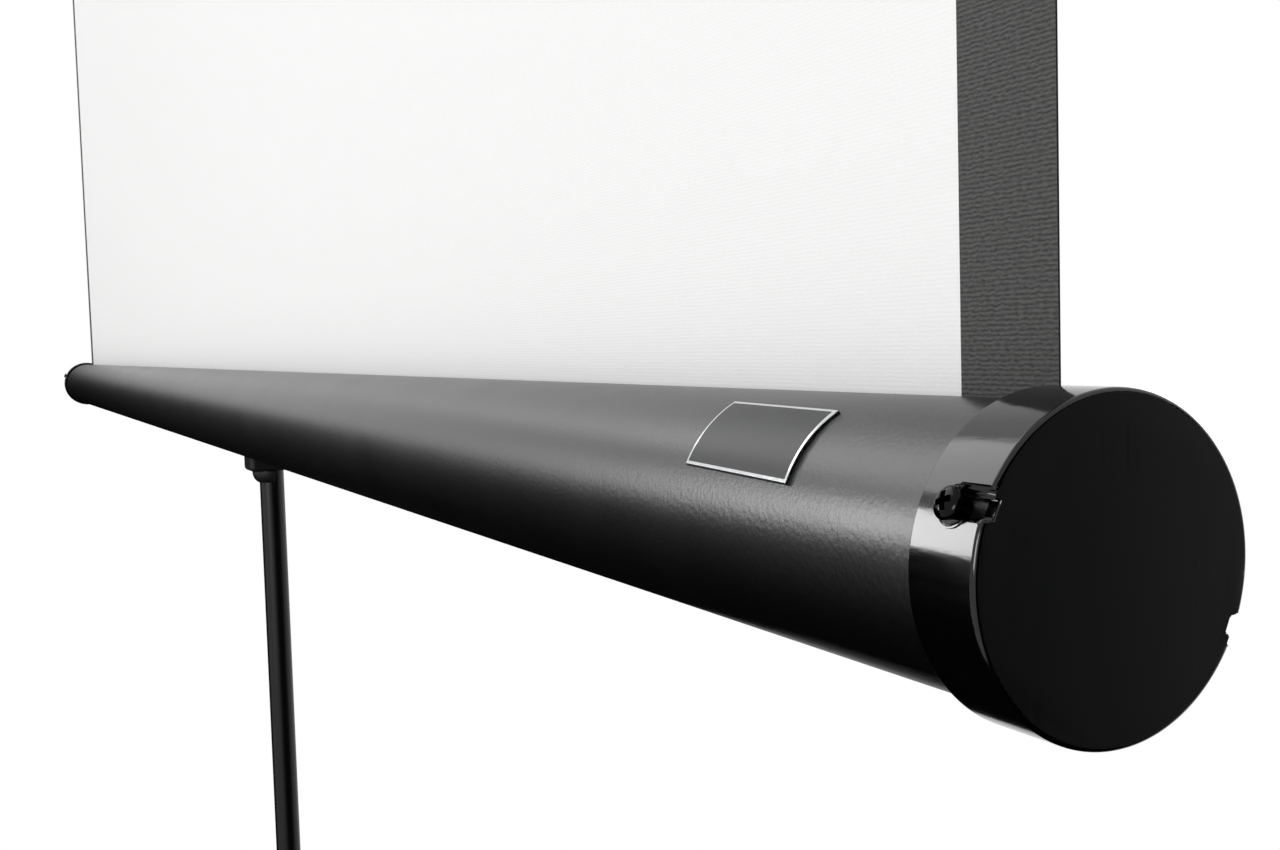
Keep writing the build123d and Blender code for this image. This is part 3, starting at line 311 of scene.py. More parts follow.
# Moulded rubber: matt, with a talc bloom that turns it faintly grey in patches.
moulded_rubber, tree, shader, place = new_material(
    "moulded_rubber_black", "#1b1b1b", 0.78, {"Specular IOR Level": 0.3}
)
bloom = add(tree, "ShaderNodeTexNoise", {"Vector": place, "Scale": 1 / (9 * MM), "Detail": 5.0})
bloom_tint = add(
    tree,
    "ShaderNodeMix",
    {"Factor": bloom.outputs["Fac"], "A": linear("#141414"), "B": linear("#2a2a29")},
    data_type="RGBA",
)
tree.links.new(bloom_tint.outputs["Result"], shader.inputs["Base Color"])
pores = add(tree, "ShaderNodeTexNoise", {"Vector": place, "Scale": 1 / (0.5 * MM)})
bump = add(tree, "ShaderNodeBump", {"Height": pores.outputs["Fac"], "Distance": 0.04 * MM})
tree.links.new(bump.outputs["Normal"], shader.inputs["Normal"])
for side in LEG_SIDES:
    refine("foot_" + side, moulded_rubber, edge=0.8 * MM)

# Grip ribs: rings moulded round each boot, so that it can be pulled onto the leg.
FIRST_RIB = 31 * MM  # from the end of the leg
TUBE_MIDDLE = 16 * MM  # above the line of the leg's pivots
ribs = {
    "Count": 6,
    "Pitch": 5.0 * MM,
    "Width": 25.0 * MM,
    "Depth": 17.0 * MM,
    "Corner": 7.5 * MM,
    "Radius": 0.9 * MM,
}
tree, sizes = new_growth("grip_ribs", ribs)
outline = add(
    tree,
    "GeometryNodeCurvePrimitiveQuadrilateral",
    {"Width": sizes.outputs["Width"], "Height": sizes.outputs["Depth"]},
)
oval = add(
    tree,
    "GeometryNodeFilletCurve",
    {"Curve": outline.outputs["Curve"], "Count": 8, "Radius": sizes.outputs["Corner"]},
    mode="POLY",
)
section = add(
    tree, "GeometryNodeCurvePrimitiveCircle", {"Resolution": 8, "Radius": sizes.outputs["Radius"]}
)
ring = add(
    tree,
    "GeometryNodeCurveToMesh",
    {"Curve": oval.outputs["Curve"], "Profile Curve": section.outputs["Curve"]},
)
step = add(tree, "ShaderNodeCombineXYZ", {"Z": sizes.outputs["Pitch"]})
row = add(
    tree,
    "GeometryNodeMeshLine",
    {"Count": sizes.outputs["Count"], "Offset": step.outputs["Vector"]},
)
rings = add(
    tree,
    "GeometryNodeInstanceOnPoints",
    {"Points": row.outputs["Mesh"], "Instance": ring.outputs["Mesh"]},
)
close_growth(tree, rings.outputs["Instances"], moulded_rubber)
across_leg = Matrix(((0, 0, 1, 0), (1, 0, 0, 0), (0, 1, 0, 0), (0, 0, 0, 1)))
for side in LEG_SIDES:
    tube = frame["nodes"]["leg_tube_" + side].data
    to_leg = leg_places[side].inverted()
    leg_end = max((to_leg @ vertex.co).x for vertex in tube.vertices)
    first = Matrix.Translation((leg_end - FIRST_RIB, 0, TUBE_MIDDLE))
    spot = leg_places[side] @ first @ across_leg
    grow("grip_ribs_" + side, tree, ribs, [spot], "leg_" + side)

# ---- Carriage -------------------------------------------------------------------------------
# One moulded block slides on the post and is held by a hand knob. Its swivel bolt carries the
# case, and a bow handle screwed to its back lifts the folded screen.

for node in ("carriage", "carry_handle", "thrust_washer"):
    refine(node, moulded_nylon)
refine("carriage_knob", moulded_nylon, edge=0.5 * MM)
refine("swivel_bolt", zinc_plate, edge=0.3 * MM)
refine("handle_screws", zinc_plate)

# ---- Case -----------------------------------------------------------------------------------
# A rolled steel tube with turned-in lips along its slot, sprayed and stoved in black enamel.
# The saddle is riveted to its back, and a cup inside each end carries the roller.

case_low, case_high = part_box("case_tube")
CASE_AXIS = (case_low + case_high) / 2
CASE_RADIUS = (case_high.y - case_low.y) / 2
OFF_ROUND = 0.12 * MM  # how far a corner on the round surface may stand off its radius
SIDEWAYS = 0.1  # a face whose normal leans less than this along the case is on its side


def true_round(piece, radius):
    """Shades the faces that lie on a round surface about the case's axis as truly round."""
    mesh = piece.data
    normals = [Vector() for _ in mesh.loops]
    for face in mesh.polygons:
        spokes = []
        for loop in face.loop_indices:
            spoke = mesh.vertices[mesh.loops[loop].vertex_index].co - CASE_AXIS
            spoke.x = 0
            spokes.append(spoke)
        off = max(abs(spoke.length - radius) for spoke in spokes)
        if abs(face.normal.x) < SIDEWAYS and off < OFF_ROUND:
            for loop, spoke in zip(face.loop_indices, spokes):
                normals[loop] = spoke.normalized()
    mesh.normals_split_custom_set(normals)


# Stoved enamel: satin, with a fine regular orange-peel that shows where a lamp is mirrored.
# The peel is drawn at twice its real spacing, so that it can be seen.
case_enamel, tree, shader, place = new_material(
    "stoved_enamel_black", "#040404", 0.33, {"Specular IOR Level": 0.5}
)
peel = add(tree, "ShaderNodeTexNoise", {"Vector": place, "Scale": 1 / (1.3 * MM), "Detail": 1.0})
drift = add(tree, "ShaderNodeTexNoise", {"Vector": place, "Scale": 1 / (40 * MM), "Detail": 2.0})
film = add(
    tree, "ShaderNodeMapRange", {"Value": drift.outputs["Fac"], "To Min": 0.3, "To Max": 0.36}
)
tree.links.new(film.outputs["Result"], shader.inputs["Roughness"])
bump = add(tree, "ShaderNodeBump", {"Height": peel.outputs["Fac"], "Distance": 0.05 * MM})
tree.links.new(bump.outputs["Normal"], shader.inputs["Normal"])
true_round(refine("case_tube", case_enamel), CASE_RADIUS)
refine("case_saddle", powder_coat, edge=0.4 * MM)
refine("saddle_rivets", powder_coat, edge=0.4 * MM)
refine("idle_bracket", zinc_plate)
refine("spring_bracket", zinc_plate)

# ---- End caps -------------------------------------------------------------------------------
# Moulded cups pushed over the tube and held by screws in open slots. The sleeve comes glossy
# off a polished die, and the flat end is left satin.

cap_low, cap_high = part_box("end_cap_right")
CAP_RADIUS = (cap_high.z - cap_low.z) / 2
CAP_EDGE = 0.3 * MM
RIM_TURN = 0.6  # radians: an edge that turns more than this is a rim
END_ON = 0.98  # a face whose normal leans more than this along the case looks out of its end

# Polished ABS: mirrors its surroundings, a little rippled by the way the melt flowed.
gloss_abs, tree, shader, place = new_material(
    "moulded_abs_gloss_black", "#030303", 0.13, {"Specular IOR Level": 0.4}
)
flow = add(
    tree,
    "ShaderNodeMapping",
    {"Vector": place, "Scale": (1 / (9 * MM), 1 / (2.2 * MM), 1 / (2.2 * MM))},
)
ripple = add(tree, "ShaderNodeTexNoise", {"Vector": flow.outputs["Vector"], "Scale": 1.0})
rub = add(
    tree, "ShaderNodeMapRange", {"Value": ripple.outputs["Fac"], "To Min": 0.09, "To Max": 0.16}
)
tree.links.new(rub.outputs["Result"], shader.inputs["Roughness"])
bump = add(tree, "ShaderNodeBump", {"Height": ripple.outputs["Fac"], "Distance": 0.03 * MM})
tree.links.new(bump.outputs["Normal"], shader.inputs["Normal"])

# Satin ABS: an etched face with a broad dull sheen and faint scratches of handling.
satin_abs, tree, shader, place = new_material(
    "moulded_abs_satin_black", "#030404", 0.5, {"Specular IOR Level": 0.4}
)
scratch = add(
    tree,
    "ShaderNodeMapping",
    {"Vector": place, "Rotation": (0.5, 0, 0), "Scale": (1.0, 1 / (0.6 * MM), 1 / (30 * MM))},
)
lines = add(
    tree,
    "ShaderNodeTexNoise",
    {"Vector": scratch.outputs["Vector"], "Scale": 1.0, "Detail": 3.0},
)
marks = add(
    tree,
    "ShaderNodeMapRange",
    {
        "Value": lines.outputs["Fac"],
        "From Min": 0.6,
        "From Max": 0.75,
        "To Min": 0.5,
        "To Max": 0.36,
    },
)
tree.links.new(marks.outputs["Result"], shader.inputs["Roughness"])
bump = add(tree, "ShaderNodeBump", {"Height": lines.outputs["Fac"], "Distance": 0.004 * MM})
tree.links.new(bump.outputs["Normal"], shader.inputs["Normal"])

for node in ("end_cap_right", "end_cap_left"):
    cap = refine(node, gloss_abs)
    work = bmesh.new()
    work.from_mesh(cap.data)
    rims = [edge for edge in work.edges if edge.is_manifold and edge.calc_face_angle() > RIM_TURN]
    bmesh.ops.bevel(work, geom=rims, offset=CAP_EDGE, segments=2, affect="EDGES")
    work.to_mesh(cap.data)
    work.free()
    cap.data.set_sharp_from_angle(angle=SHARP_TURN)
    true_round(cap, CAP_RADIUS)
    cap.data.materials.append(satin_abs)
    for face in cap.data.polygons:
        if abs(face.normal.x) > END_ON and abs(face.center.x) > cap_high.x - MM:
            face.material_index = 1

# Black oxide: a thin oiled conversion coat, dark and glossy on the turned head.
black_oxide, tree, shader, place = new_material(
    "black_oxide_steel", "#1c1c1d", 0.14, {"Metallic": 1.0}
)
oil = add(tree, "ShaderNodeTexNoise", {"Vector": place, "Scale": 1 / (1.2 * MM), "Detail": 3.0})
oiled = add(
    tree, "ShaderNodeMapRange", {"Value": oil.outputs["Fac"], "To Min": 0.09, "To Max": 0.18}
)
tree.links.new(oiled.outputs["Result"], shader.inputs["Roughness"])
bump = add(tree, "ShaderNodeBump", {"Height": oil.outputs["Fac"], "Distance": 0.015 * MM})
tree.links.new(bump.outputs["Normal"], shader.inputs["Normal"])

# Each screw stands on a line through the case's axis, so its own solid gives its direction.
source = bmesh.new()
source.from_mesh(frame["nodes"]["cap_screws"].data)
bmesh.ops.remove_doubles(source, verts=source.verts, dist=SAME_PLACE)
screw_places = []
waiting = dict.fromkeys(source.verts)
while waiting:
    island, to_visit = [], [waiting.popitem()[0]]
    while to_visit:
        vertex = to_visit.pop()
        island.append(vertex)
        for edge in vertex.link_edges:
            other = edge.other_vert(vertex)
            if other in waiting:
                del waiting[other]
                to_visit.append(other)
    spots = [vertex.co for vertex in island]
    middle = sum(spots, Vector()) / len(spots)
    axis_point = Vector((middle.x, CASE_AXIS.y, CASE_AXIS.z))
    outward = (middle - axis_point).normalized()
    reaches = [(spot - axis_point).dot(outward) for spot in spots]
    turn = outward.to_track_quat("Z", "Y").to_matrix().to_4x4()
    screw_places.append(Matrix.Translation(axis_point + outward * max(reaches)) @ turn)
    screw_length = max(reaches) - min(reaches)
source.free()

# A pan head is a low dome with a cross recess punched into it. The recess stands a little askew,
# as the screw was left when it was driven home.
RECESS_TURN = 0.35  # radians
HEAD_SHARP = radians(40)
pan_screw = {
    "Head Radius": 3.35 * MM,
    "Head Height": 1.4 * MM,
    "Crown": 0.5 * MM,
    "Shank Radius": 1.75 * MM,
    "Length": screw_length,
    "Recess Span": 3.9 * MM,
    "Recess Width": 1.35 * MM,
    "Recess Depth": 1.3 * MM,
}
tree, sizes = new_growth("pan_screw", pan_screw)
ball = add(tree, "GeometryNodeMeshUVSphere", {"Segments": 40, "Rings": 24, "Radius": 1.0})
squat = add(
    tree,
    "ShaderNodeCombineXYZ",
    {
        "X": sizes.outputs["Head Radius"],
        "Y": sizes.outputs["Head Radius"],
        "Z": sizes.outputs["Head Height"],
    },
)
below = add(
    tree,
    "ShaderNodeMath",
    {0: sizes.outputs["Crown"], 1: sizes.outputs["Head Height"]},
    operation="SUBTRACT",
)
sunk = add(tree, "ShaderNodeCombineXYZ", {"Z": below.outputs["Value"]})
dome = add(
    tree,
    "GeometryNodeTransform",
    {
        "Geometry": ball.outputs["Mesh"],
        "Translation": sunk.outputs["Vector"],
        "Scale": squat.outputs["Vector"],
    },
)
deep = add(
    tree, "ShaderNodeMath", {0: sizes.outputs["Recess Depth"], 1: 2.0}, operation="MULTIPLY"
)
bar_size = add(
    tree,
    "ShaderNodeCombineXYZ",
    {
        "X": sizes.outputs["Recess Span"],
        "Y": sizes.outputs["Recess Width"],
        "Z": deep.outputs["Value"],
    },
)
bar = add(tree, "GeometryNodeMeshCube", {"Size": bar_size.outputs["Vector"]})
crossbar = add(
    tree,
    "GeometryNodeTransform",
    {"Geometry": bar.outputs["Mesh"], "Rotation": (0.0, 0.0, pi / 2)},
)
recess = add(tree, "GeometryNodeMeshBoolean", operation="UNION", solver="EXACT")
tree.links.new(bar.outputs["Mesh"], recess.inputs["Mesh 2"])
tree.links.new(crossbar.outputs["Geometry"], recess.inputs["Mesh 2"])
slanted = add(
    tree,
    "GeometryNodeTransform",
    {"Geometry": recess.outputs["Mesh"], "Rotation": (0.0, 0.0, RECESS_TURN)},
)
head = add(
    tree, "GeometryNodeMeshBoolean", {"Mesh 1": dome.outputs["Geometry"]}, solver="EXACT"
)
tree.links.new(slanted.outputs["Geometry"], head.inputs["Mesh 2"])
rod = add(
    tree,
    "GeometryNodeMeshCylinder",
    {
        "Vertices": 20,
        "Radius": sizes.outputs["Shank Radius"],
        "Depth": sizes.outputs["Length"],
    },
)
half = add(
    tree, "ShaderNodeMath", {0: sizes.outputs["Length"], 1: -0.5}, operation="MULTIPLY"
)
lower = add(
    tree,
    "ShaderNodeMath",
    {0: half.outputs["Value"], 1: sizes.outputs["Recess Depth"]},
    operation="SUBTRACT",
)
rod_place = add(tree, "ShaderNodeCombineXYZ", {"Z": lower.outputs["Value"]})
shank = add(
    tree,
    "GeometryNodeTransform",
    {"Geometry": rod.outputs["Mesh"], "Translation": rod_place.outputs["Vector"]},
)
screw = add(tree, "GeometryNodeJoinGeometry", {"Geometry": head.outputs["Mesh"]})
tree.links.new(shank.outputs["Geometry"], screw.inputs["Geometry"])
close_growth(tree, screw.outputs["Geometry"], black_oxide)
screws = grow("pan_screws", tree, pan_screw, screw_places, "case")
screws.data.set_sharp_from_angle(angle=HEAD_SHARP)
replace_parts(screws, "cap_screws")

# ---- Name plate -----------------------------------------------------------------------------
# A thin stamped plate glued round the front of the tube near its right end, left bare: a dark
# lacquered field inside a bright rolled rim. It sits a little askew.

PLATE_LENGTH = 47.3 * MM
PLATE_ARC = 20.9 * MM
PLATE_ANGLE = radians(136.5)
PLATE_SKEW = radians(2.4) / PLATE_LENGTH
PLATE_FROM_CAP = 90.5 * MM
PLATE_THICKNESS = 1.2 * MM
PLATE_BEVEL = 1.1 * MM
PLATE_SHARP = radians(50)
plate_x = cap_high.x - PLATE_FROM_CAP

# Bright nickel-chrome plate: a near mirror, with the slight waviness of a rolled edge.
bright_chrome, tree, shader, place = new_material(
    "chrome_plated_steel", "#d2d4d6", 0.12, {"Metallic": 1.0}
)
haze = add(tree, "ShaderNodeTexNoise", {"Vector": place, "Scale": 1 / (3 * MM), "Detail": 2.0})
polish = add(
    tree, "ShaderNodeMapRange", {"Value": haze.outputs["Fac"], "To Min": 0.08, "To Max": 0.2}
)
tree.links.new(polish.outputs["Result"], shader.inputs["Roughness"])
bump = add(tree, "ShaderNodeBump", {"Height": haze.outputs["Fac"], "Distance": 0.02 * MM})
tree.links.new(bump.outputs["Normal"], shader.inputs["Normal"])

# Lacquer over the stamped plate: nearly black, with a soft sheen.
plate_lacquer, tree, shader, place = new_material(
    "lacquered_plate_black", "#121314", 0.34, {"Specular IOR Level": 0.25}
)
cloud = add(tree, "ShaderNodeTexNoise", {"Vector": place, "Scale": 1 / (7 * MM), "Detail": 2.0})
shade = add(
    tree,
    "ShaderNodeMix",
    {"Factor": cloud.outputs["Fac"], "A": linear("#0f1011"), "B": linear("#1c1d1e")},
    data_type="RGBA",
)
tree.links.new(shade.outputs["Result"], shader.inputs["Base Color"])
bump = add(tree, "ShaderNodeBump", {"Height": cloud.outputs["Fac"], "Distance": 0.02 * MM})
tree.links.new(bump.outputs["Normal"], shader.inputs["Normal"])


def on_tube(along, round_it, lift):
    """A point over the tube from a place on the flat plate: along X, and round the tube."""
    angle = PLATE_ANGLE + PLATE_SKEW * along - round_it / CASE_RADIUS
    reach = CASE_RADIUS + lift
    return CASE_AXIS + Vector((plate_x + along, reach * cos(angle), reach * sin(angle)))


def grid_faces(columns, rows):
    """The faces of a grid whose points are listed row by row."""
    faces = []
    for row in range(rows):
        for column in range(columns):
            corner = row * (columns + 1) + column
            faces.append((corner, corner + 1, corner + columns + 2, corner + columns + 1))
    return faces


columns, rows = 24, 16
points, quads = [], grid_faces(columns, rows)
for row in range(rows + 1):
    for column in range(columns + 1):
        along = (PLATE_LENGTH - 2 * PLATE_BEVEL) * (column / columns - 0.5)
        round_it = (PLATE_ARC - 2 * PLATE_BEVEL) * (row / rows - 0.5)
        points.append(on_tube(along, round_it, PLATE_THICKNESS))
field_faces = len(quads)

# The bevel runs round the field and down to the tube, as rings of the same number of points.
ring = [(2 * step / columns - 1, -1) for step in range(columns)]
ring += [(1, 2 * step / rows - 1) for step in range(rows)]
ring += [(1 - 2 * step / columns, 1) for step in range(columns)]
ring += [(-1, 1 - 2 * step / rows) for step in range(rows)]
profile = ((PLATE_BEVEL, 1.0), (0.35 * PLATE_BEVEL, 0.98), (0.08 * PLATE_BEVEL, 0.6), (0, -0.1))
first = len(points)
for inset, share in profile:
    for side, end in ring:
        along = side * (PLATE_LENGTH / 2 - inset)
        round_it = end * (PLATE_ARC / 2 - inset)
        points.append(on_tube(along, round_it, share * PLATE_THICKNESS))
for level in range(len(profile) - 1):
    for step in range(len(ring)):
        here = first + level * len(ring) + step
        after = first + level * len(ring) + (step + 1) % len(ring)
        quads.append((here, here + len(ring), after + len(ring), after))
mesh = bpy.data.meshes.new("name_plate")
mesh.from_pydata(points, [], quads)
mesh.materials.append(plate_lacquer)
mesh.materials.append(bright_chrome)
mesh.shade_smooth()
for face in mesh.polygons[field_faces:]:
    face.material_index = 1
work = bmesh.new()
work.from_mesh(mesh)
bmesh.ops.remove_doubles(work, verts=work.verts, dist=SAME_PLACE)
bmesh.ops.holes_fill(work, edges=work.edges, sides=len(ring))
bmesh.ops.recalc_face_normals(work, faces=work.faces)
work.to_mesh(mesh)
work.free()
mesh.set_sharp_from_angle(angle=PLATE_SHARP)
name_plate = bpy.data.objects.new("name_plate", mesh)
bpy.context.scene.collection.objects.link(name_plate)
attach(name_plate, "case")

# ---- Roller ---------------------------------------------------------------------------------
# A thin steel tube that the fabric winds on, with a moulded plug at each end. A close-wound
# torsion spring inside its right-hand end takes the fabric back.

refine("roller_tube", zinc_plate)
refine("idle_plug", moulded_nylon)
refine("spring_plug", moulded_nylon)

# Spring steel: oil-tempered wire, dark and slightly streaked along its length.
spring_wire, tree, shader, place = new_material(
    "oil_tempered_spring_steel", "#5f5d5a", 0.36, {"Metallic": 1.0}
)
temper = add(tree, "ShaderNodeTexNoise", {"Vector": place, "Scale": 1 / (4 * MM), "Detail": 3.0})
temper_tint = add(
    tree,
    "ShaderNodeMix",
    {"Factor": temper.outputs["Fac"], "A": linear("#4b4a4a"), "B": linear("#76706a")},
    data_type="RGBA",
)
tree.links.new(temper_tint.outputs["Result"], shader.inputs["Base Color"])
spring_low, spring_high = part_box("torsion_spring")
WIRE_RADIUS = 1.45 * MM
COIL_PITCH = 2.05 * WIRE_RADIUS  # the turns all but touch
spring_length = spring_high.x - spring_low.x
coil = {
    "Turns": spring_length / COIL_PITCH,
    "Radius": (spring_high.z - spring_low.z) / 2 - WIRE_RADIUS,
    "Length": spring_length - 2 * WIRE_RADIUS,
    "Wire": WIRE_RADIUS,
}
tree, sizes = new_growth("torsion_coil", coil)
helix = add(
    tree,
    "GeometryNodeCurveSpiral",
    {
        "Resolution": 20,
        "Rotations": sizes.outputs["Turns"],
        "Start Radius": sizes.outputs["Radius"],
        "End Radius": sizes.outputs["Radius"],
        "Height": sizes.outputs["Length"],
    },
)
section = add(
    tree, "GeometryNodeCurvePrimitiveCircle", {"Resolution": 8, "Radius": sizes.outputs["Wire"]}
)
wound = add(
    tree,
    "GeometryNodeCurveToMesh",
    {
        "Curve": helix.outputs["Curve"],
        "Profile Curve": section.outputs["Curve"],
        "Fill Caps": True,
    },
)
close_growth(tree, wound.outputs["Mesh"], spring_wire)
roller_axis = (spring_low + spring_high) / 2
spring_end = Vector((spring_low.x + WIRE_RADIUS, roller_axis.y, roller_axis.z))
along_x = Matrix.Translation(spring_end) @ Matrix.Rotation(pi / 2, 4, "Y")
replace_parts(grow("spring_coil", tree, coil, [along_x], "roller"), "torsion_spring")

# ---- Screen ---------------------------------------------------------------------------------
# Matt white vinyl-faced cloth with printed black borders and a black back. It hangs from the
# slat, which grips its top edge, and goes down through the slot to the roller.

fabric_low, fabric_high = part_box("screen_fabric")
slat_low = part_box("top_slat")[0]
BORDER = 30 * MM

# Vinyl-faced cloth: an embossed grain of short wavy strands, in rows about a millimetre apart. It
# shows as a soft unevenness on the white, and as light flecks on the printed black.
STRAND = 0.55 * MM
ROW_PITCH = 1.05 * MM
screen_cloth, tree, shader, place = new_material(
    "vinyl_screen_cloth", "#eeeeee", 0.8, {"Specular IOR Level": 0.3}
)
cut = add(tree, "ShaderNodeUVMap", uv_map="cut")
stretched = add(tree, "ShaderNodeMapping", {"Vector": cut.outputs["UV"], "Scale": (0.38, 1.0, 1.0)})
strands = add(
    tree,
    "ShaderNodeTexNoise",
    {"Vector": stretched.outputs["Vector"], "Scale": 1 / STRAND, "Detail": 2.0},
)
# A wave texture's bands lie a tenth of pi apart at scale 1.
strand_rows = add(
    tree,
    "ShaderNodeTexWave",
    {
        "Vector": cut.outputs["UV"],
        "Scale": pi / (10 * ROW_PITCH),
        "Distortion": 3.0,
        "Detail": 2.0,
        "Detail Scale": 1.6,
    },
    bands_direction="Y",
)
grain = add(
    tree,
    "ShaderNodeMix",
    {"Factor": 0.28, "A": strands.outputs["Fac"], "B": strand_rows.outputs["Fac"]},
)
split = add(tree, "ShaderNodeSeparateXYZ", {"Vector": cut.outputs["UV"]})
off_middle = add(tree, "ShaderNodeMath", {0: split.outputs["X"]}, operation="ABSOLUTE")
in_side = add(
    tree,
    "ShaderNodeMath",
    {0: off_middle.outputs["Value"], 1: fabric_high.x - BORDER},
    operation="GREATER_THAN",
)
in_top = add(
    tree,
    "ShaderNodeMath",
    {0: split.outputs["Y"], 1: slat_low.z - BORDER},
    operation="GREATER_THAN",
)
in_border = add(
    tree,
    "ShaderNodeMath",
    {0: in_side.outputs["Value"], 1: in_top.outputs["Value"]},
    operation="MAXIMUM",
)
raised = add(
    tree,
    "ShaderNodeMapRange",
    {"Value": grain.outputs["Result"], "From Min": 0.3, "From Max": 0.7},
)
white = add(
    tree,
    "ShaderNodeMix",
    {"Factor": raised.outputs["Result"], "A": linear("#eeeeee"), "B": linear("#f2f2f2")},
    data_type="RGBA",
)
black = add(
    tree,
    "ShaderNodeMix",
    {"Factor": raised.outputs["Result"], "A": linear("#2c2c2c"), "B": linear("#525251")},
    data_type="RGBA",
)
printed = add(
    tree,
    "ShaderNodeMix",
    {
        "Factor": in_border.outputs["Value"],
        "A": white.outputs["Result"],
        "B": black.outputs["Result"],
    },
    data_type="RGBA",
)
tree.links.new(printed.outputs["Result"], shader.inputs["Base Color"])
bump = add(tree, "ShaderNodeBump", {"Height": grain.outputs["Result"], "Distance": 0.06 * MM})
tree.links.new(bump.outputs["Normal"], shader.inputs["Normal"])

# Black backing: a light-tight coat over a scrim, dull, with the scrim's threads showing.
black_backing, tree, shader, place = new_material(
    "coated_scrim_black", "#151515", 0.82, {"Specular IOR Level": 0.3}
)
threads = add(
    tree,
    "ShaderNodeTexVoronoi",
    {"Vector": place, "Scale": 1 / (1.6 * MM)},
    distance="CHEBYCHEV",
)
thread_tint = add(
    tree,
    "ShaderNodeMix",
    {"Factor": threads.outputs["Distance"], "A": linear("#101010"), "B": linear("#242424")},
    data_type="RGBA",
)
tree.links.new(thread_tint.outputs["Result"], shader.inputs["Base Color"])
bump = add(tree, "ShaderNodeBump", {"Height": threads.outputs["Distance"], "Distance": 0.05 * MM})
tree.links.new(bump.outputs["Normal"], shader.inputs["Normal"])

# The sheet is pulled flat, but keeps shallow upright waves between the slot and the slat.
columns, rows = 220, 64
WAVE_HEIGHT = 0.45 * MM
LONG_WAVE, LONG_SHARE = 470 * MM, 0.6
SHORT_WAVE, SHORT_SHARE, SHORT_START = 193 * MM, 0.4, 1.1
HELD_REACH = 250 * MM  # how far the slot and the slat each keep the sheet flat
middle_y = (fabric_low.y + fabric_high.y) / 2
points = []
for row in range(rows + 1):
    z = fabric_low.z + (fabric_high.z - fabric_low.z) * row / rows
    off_slot = max((z - case_high.z) / HELD_REACH, 0)
    off_slat = max((slat_low.z - z) / HELD_REACH, 0)
    free = min(off_slot, off_slat, 1)
    loose = free * free * (3 - 2 * free)
    for column in range(columns + 1):
        x = fabric_low.x + (fabric_high.x - fabric_low.x) * column / columns
        long_part = LONG_SHARE * sin(2 * pi * x / LONG_WAVE)
        short_part = SHORT_SHARE * sin(2 * pi * x / SHORT_WAVE + SHORT_START)
        points.append((x, middle_y + WAVE_HEIGHT * (long_part + short_part) * loose, z))
mesh = bpy.data.meshes.new("fabric")
mesh.from_pydata(points, [], grid_faces(columns, rows))
layer = mesh.uv_layers.new(name="cut")
for loop in mesh.loops:
    spot = mesh.vertices[loop.vertex_index].co
    layer.data[loop.index].uv = (spot.x, spot.z)
mesh.materials.append(screen_cloth)
mesh.materials.append(black_backing)
mesh.shade_smooth()
work = bmesh.new()
work.from_mesh(mesh)
for edge in work.edges:
    edge.smooth = not edge.is_boundary
work.to_mesh(mesh)
work.free()
fabric = bpy.data.objects.new("fabric", mesh)
bpy.context.scene.collection.objects.link(fabric)
thick = fabric.modifiers.new("cloth_thickness", "SOLIDIFY")
thick.thickness = fabric_high.y - fabric_low.y
thick.offset = 0
thick.material_offset = 1
thick.material_offset_rim = 1
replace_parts(fabric, "screen_fabric")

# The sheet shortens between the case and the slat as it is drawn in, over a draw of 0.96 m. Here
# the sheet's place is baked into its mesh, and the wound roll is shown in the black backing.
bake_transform(fabric)
refine("fabric_roll", black_backing)

# Black anodised aluminium: an extruded slat, with faint lines along its length.
anodised, tree, shader, place = new_material(
    "anodised_aluminium_black", "#1d1e20", 0.36, {"Metallic": 1.0}
)
drawn = add(
    tree,
    "ShaderNodeMapping",
    {"Vector": place, "Scale": (1 / (400 * MM), 1 / (0.8 * MM), 1 / (0.8 * MM))},
)
lines = add(
    tree, "ShaderNodeTexNoise", {"Vector": drawn.outputs["Vector"], "Scale": 1.0, "Detail": 3.0}
)
line_rough = add(
    tree, "ShaderNodeMapRange", {"Value": lines.outputs["Fac"], "To Min": 0.28, "To Max": 0.46}
)
tree.links.new(line_rough.outputs["Result"], shader.inputs["Roughness"])
bump = add(tree, "ShaderNodeBump", {"Height": lines.outputs["Fac"], "Distance": 0.015 * MM})
tree.links.new(bump.outputs["Normal"], shader.inputs["Normal"])
refine("top_slat", anodised)
refine("slat_plugs", moulded_nylon)
refine("hanger_plate", powder_coat, edge=0.3 * MM)
refine("hanger_screws", zinc_plate, edge=0.4 * MM)
refine("hanger_hook", zinc_plate)

# ---- Extension ------------------------------------------------------------------------------
# A plated tube slides in the post on a moulded bush and stands above the slat. Its head carries
# a folding arm, and the hook on the slat hangs in one of the arm's two notches.

# Chrome-plated tube: bright, with the faint lengthwise lines of drawing under the plate, which
# are drawn coarser than they are, so that they can be seen.
chrome_tube, tree, shader, place = new_material(
    "chrome_plated_tube", "#c9cbcc", 0.16, {"Metallic": 1.0}
)
drawn = add(
    tree,
    "ShaderNodeMapping",
    {"Vector": place, "Scale": (1 / (0.9 * MM), 1 / (0.9 * MM), 1 / (300 * MM))},
)
lines = add(
    tree, "ShaderNodeTexNoise", {"Vector": drawn.outputs["Vector"], "Scale": 1.0, "Detail": 3.0}
)
line_rough = add(
    tree, "ShaderNodeMapRange", {"Value": lines.outputs["Fac"], "To Min": 0.1, "To Max": 0.24}
)
tree.links.new(line_rough.outputs["Result"], shader.inputs["Roughness"])
bump = add(tree, "ShaderNodeBump", {"Height": lines.outputs["Fac"], "Distance": 0.01 * MM})
tree.links.new(bump.outputs["Normal"], shader.inputs["Normal"])
refine("extension_tube", chrome_tube)
refine("guide_bush", moulded_nylon)
refine("extension_head", moulded_nylon, edge=0.3 * MM)
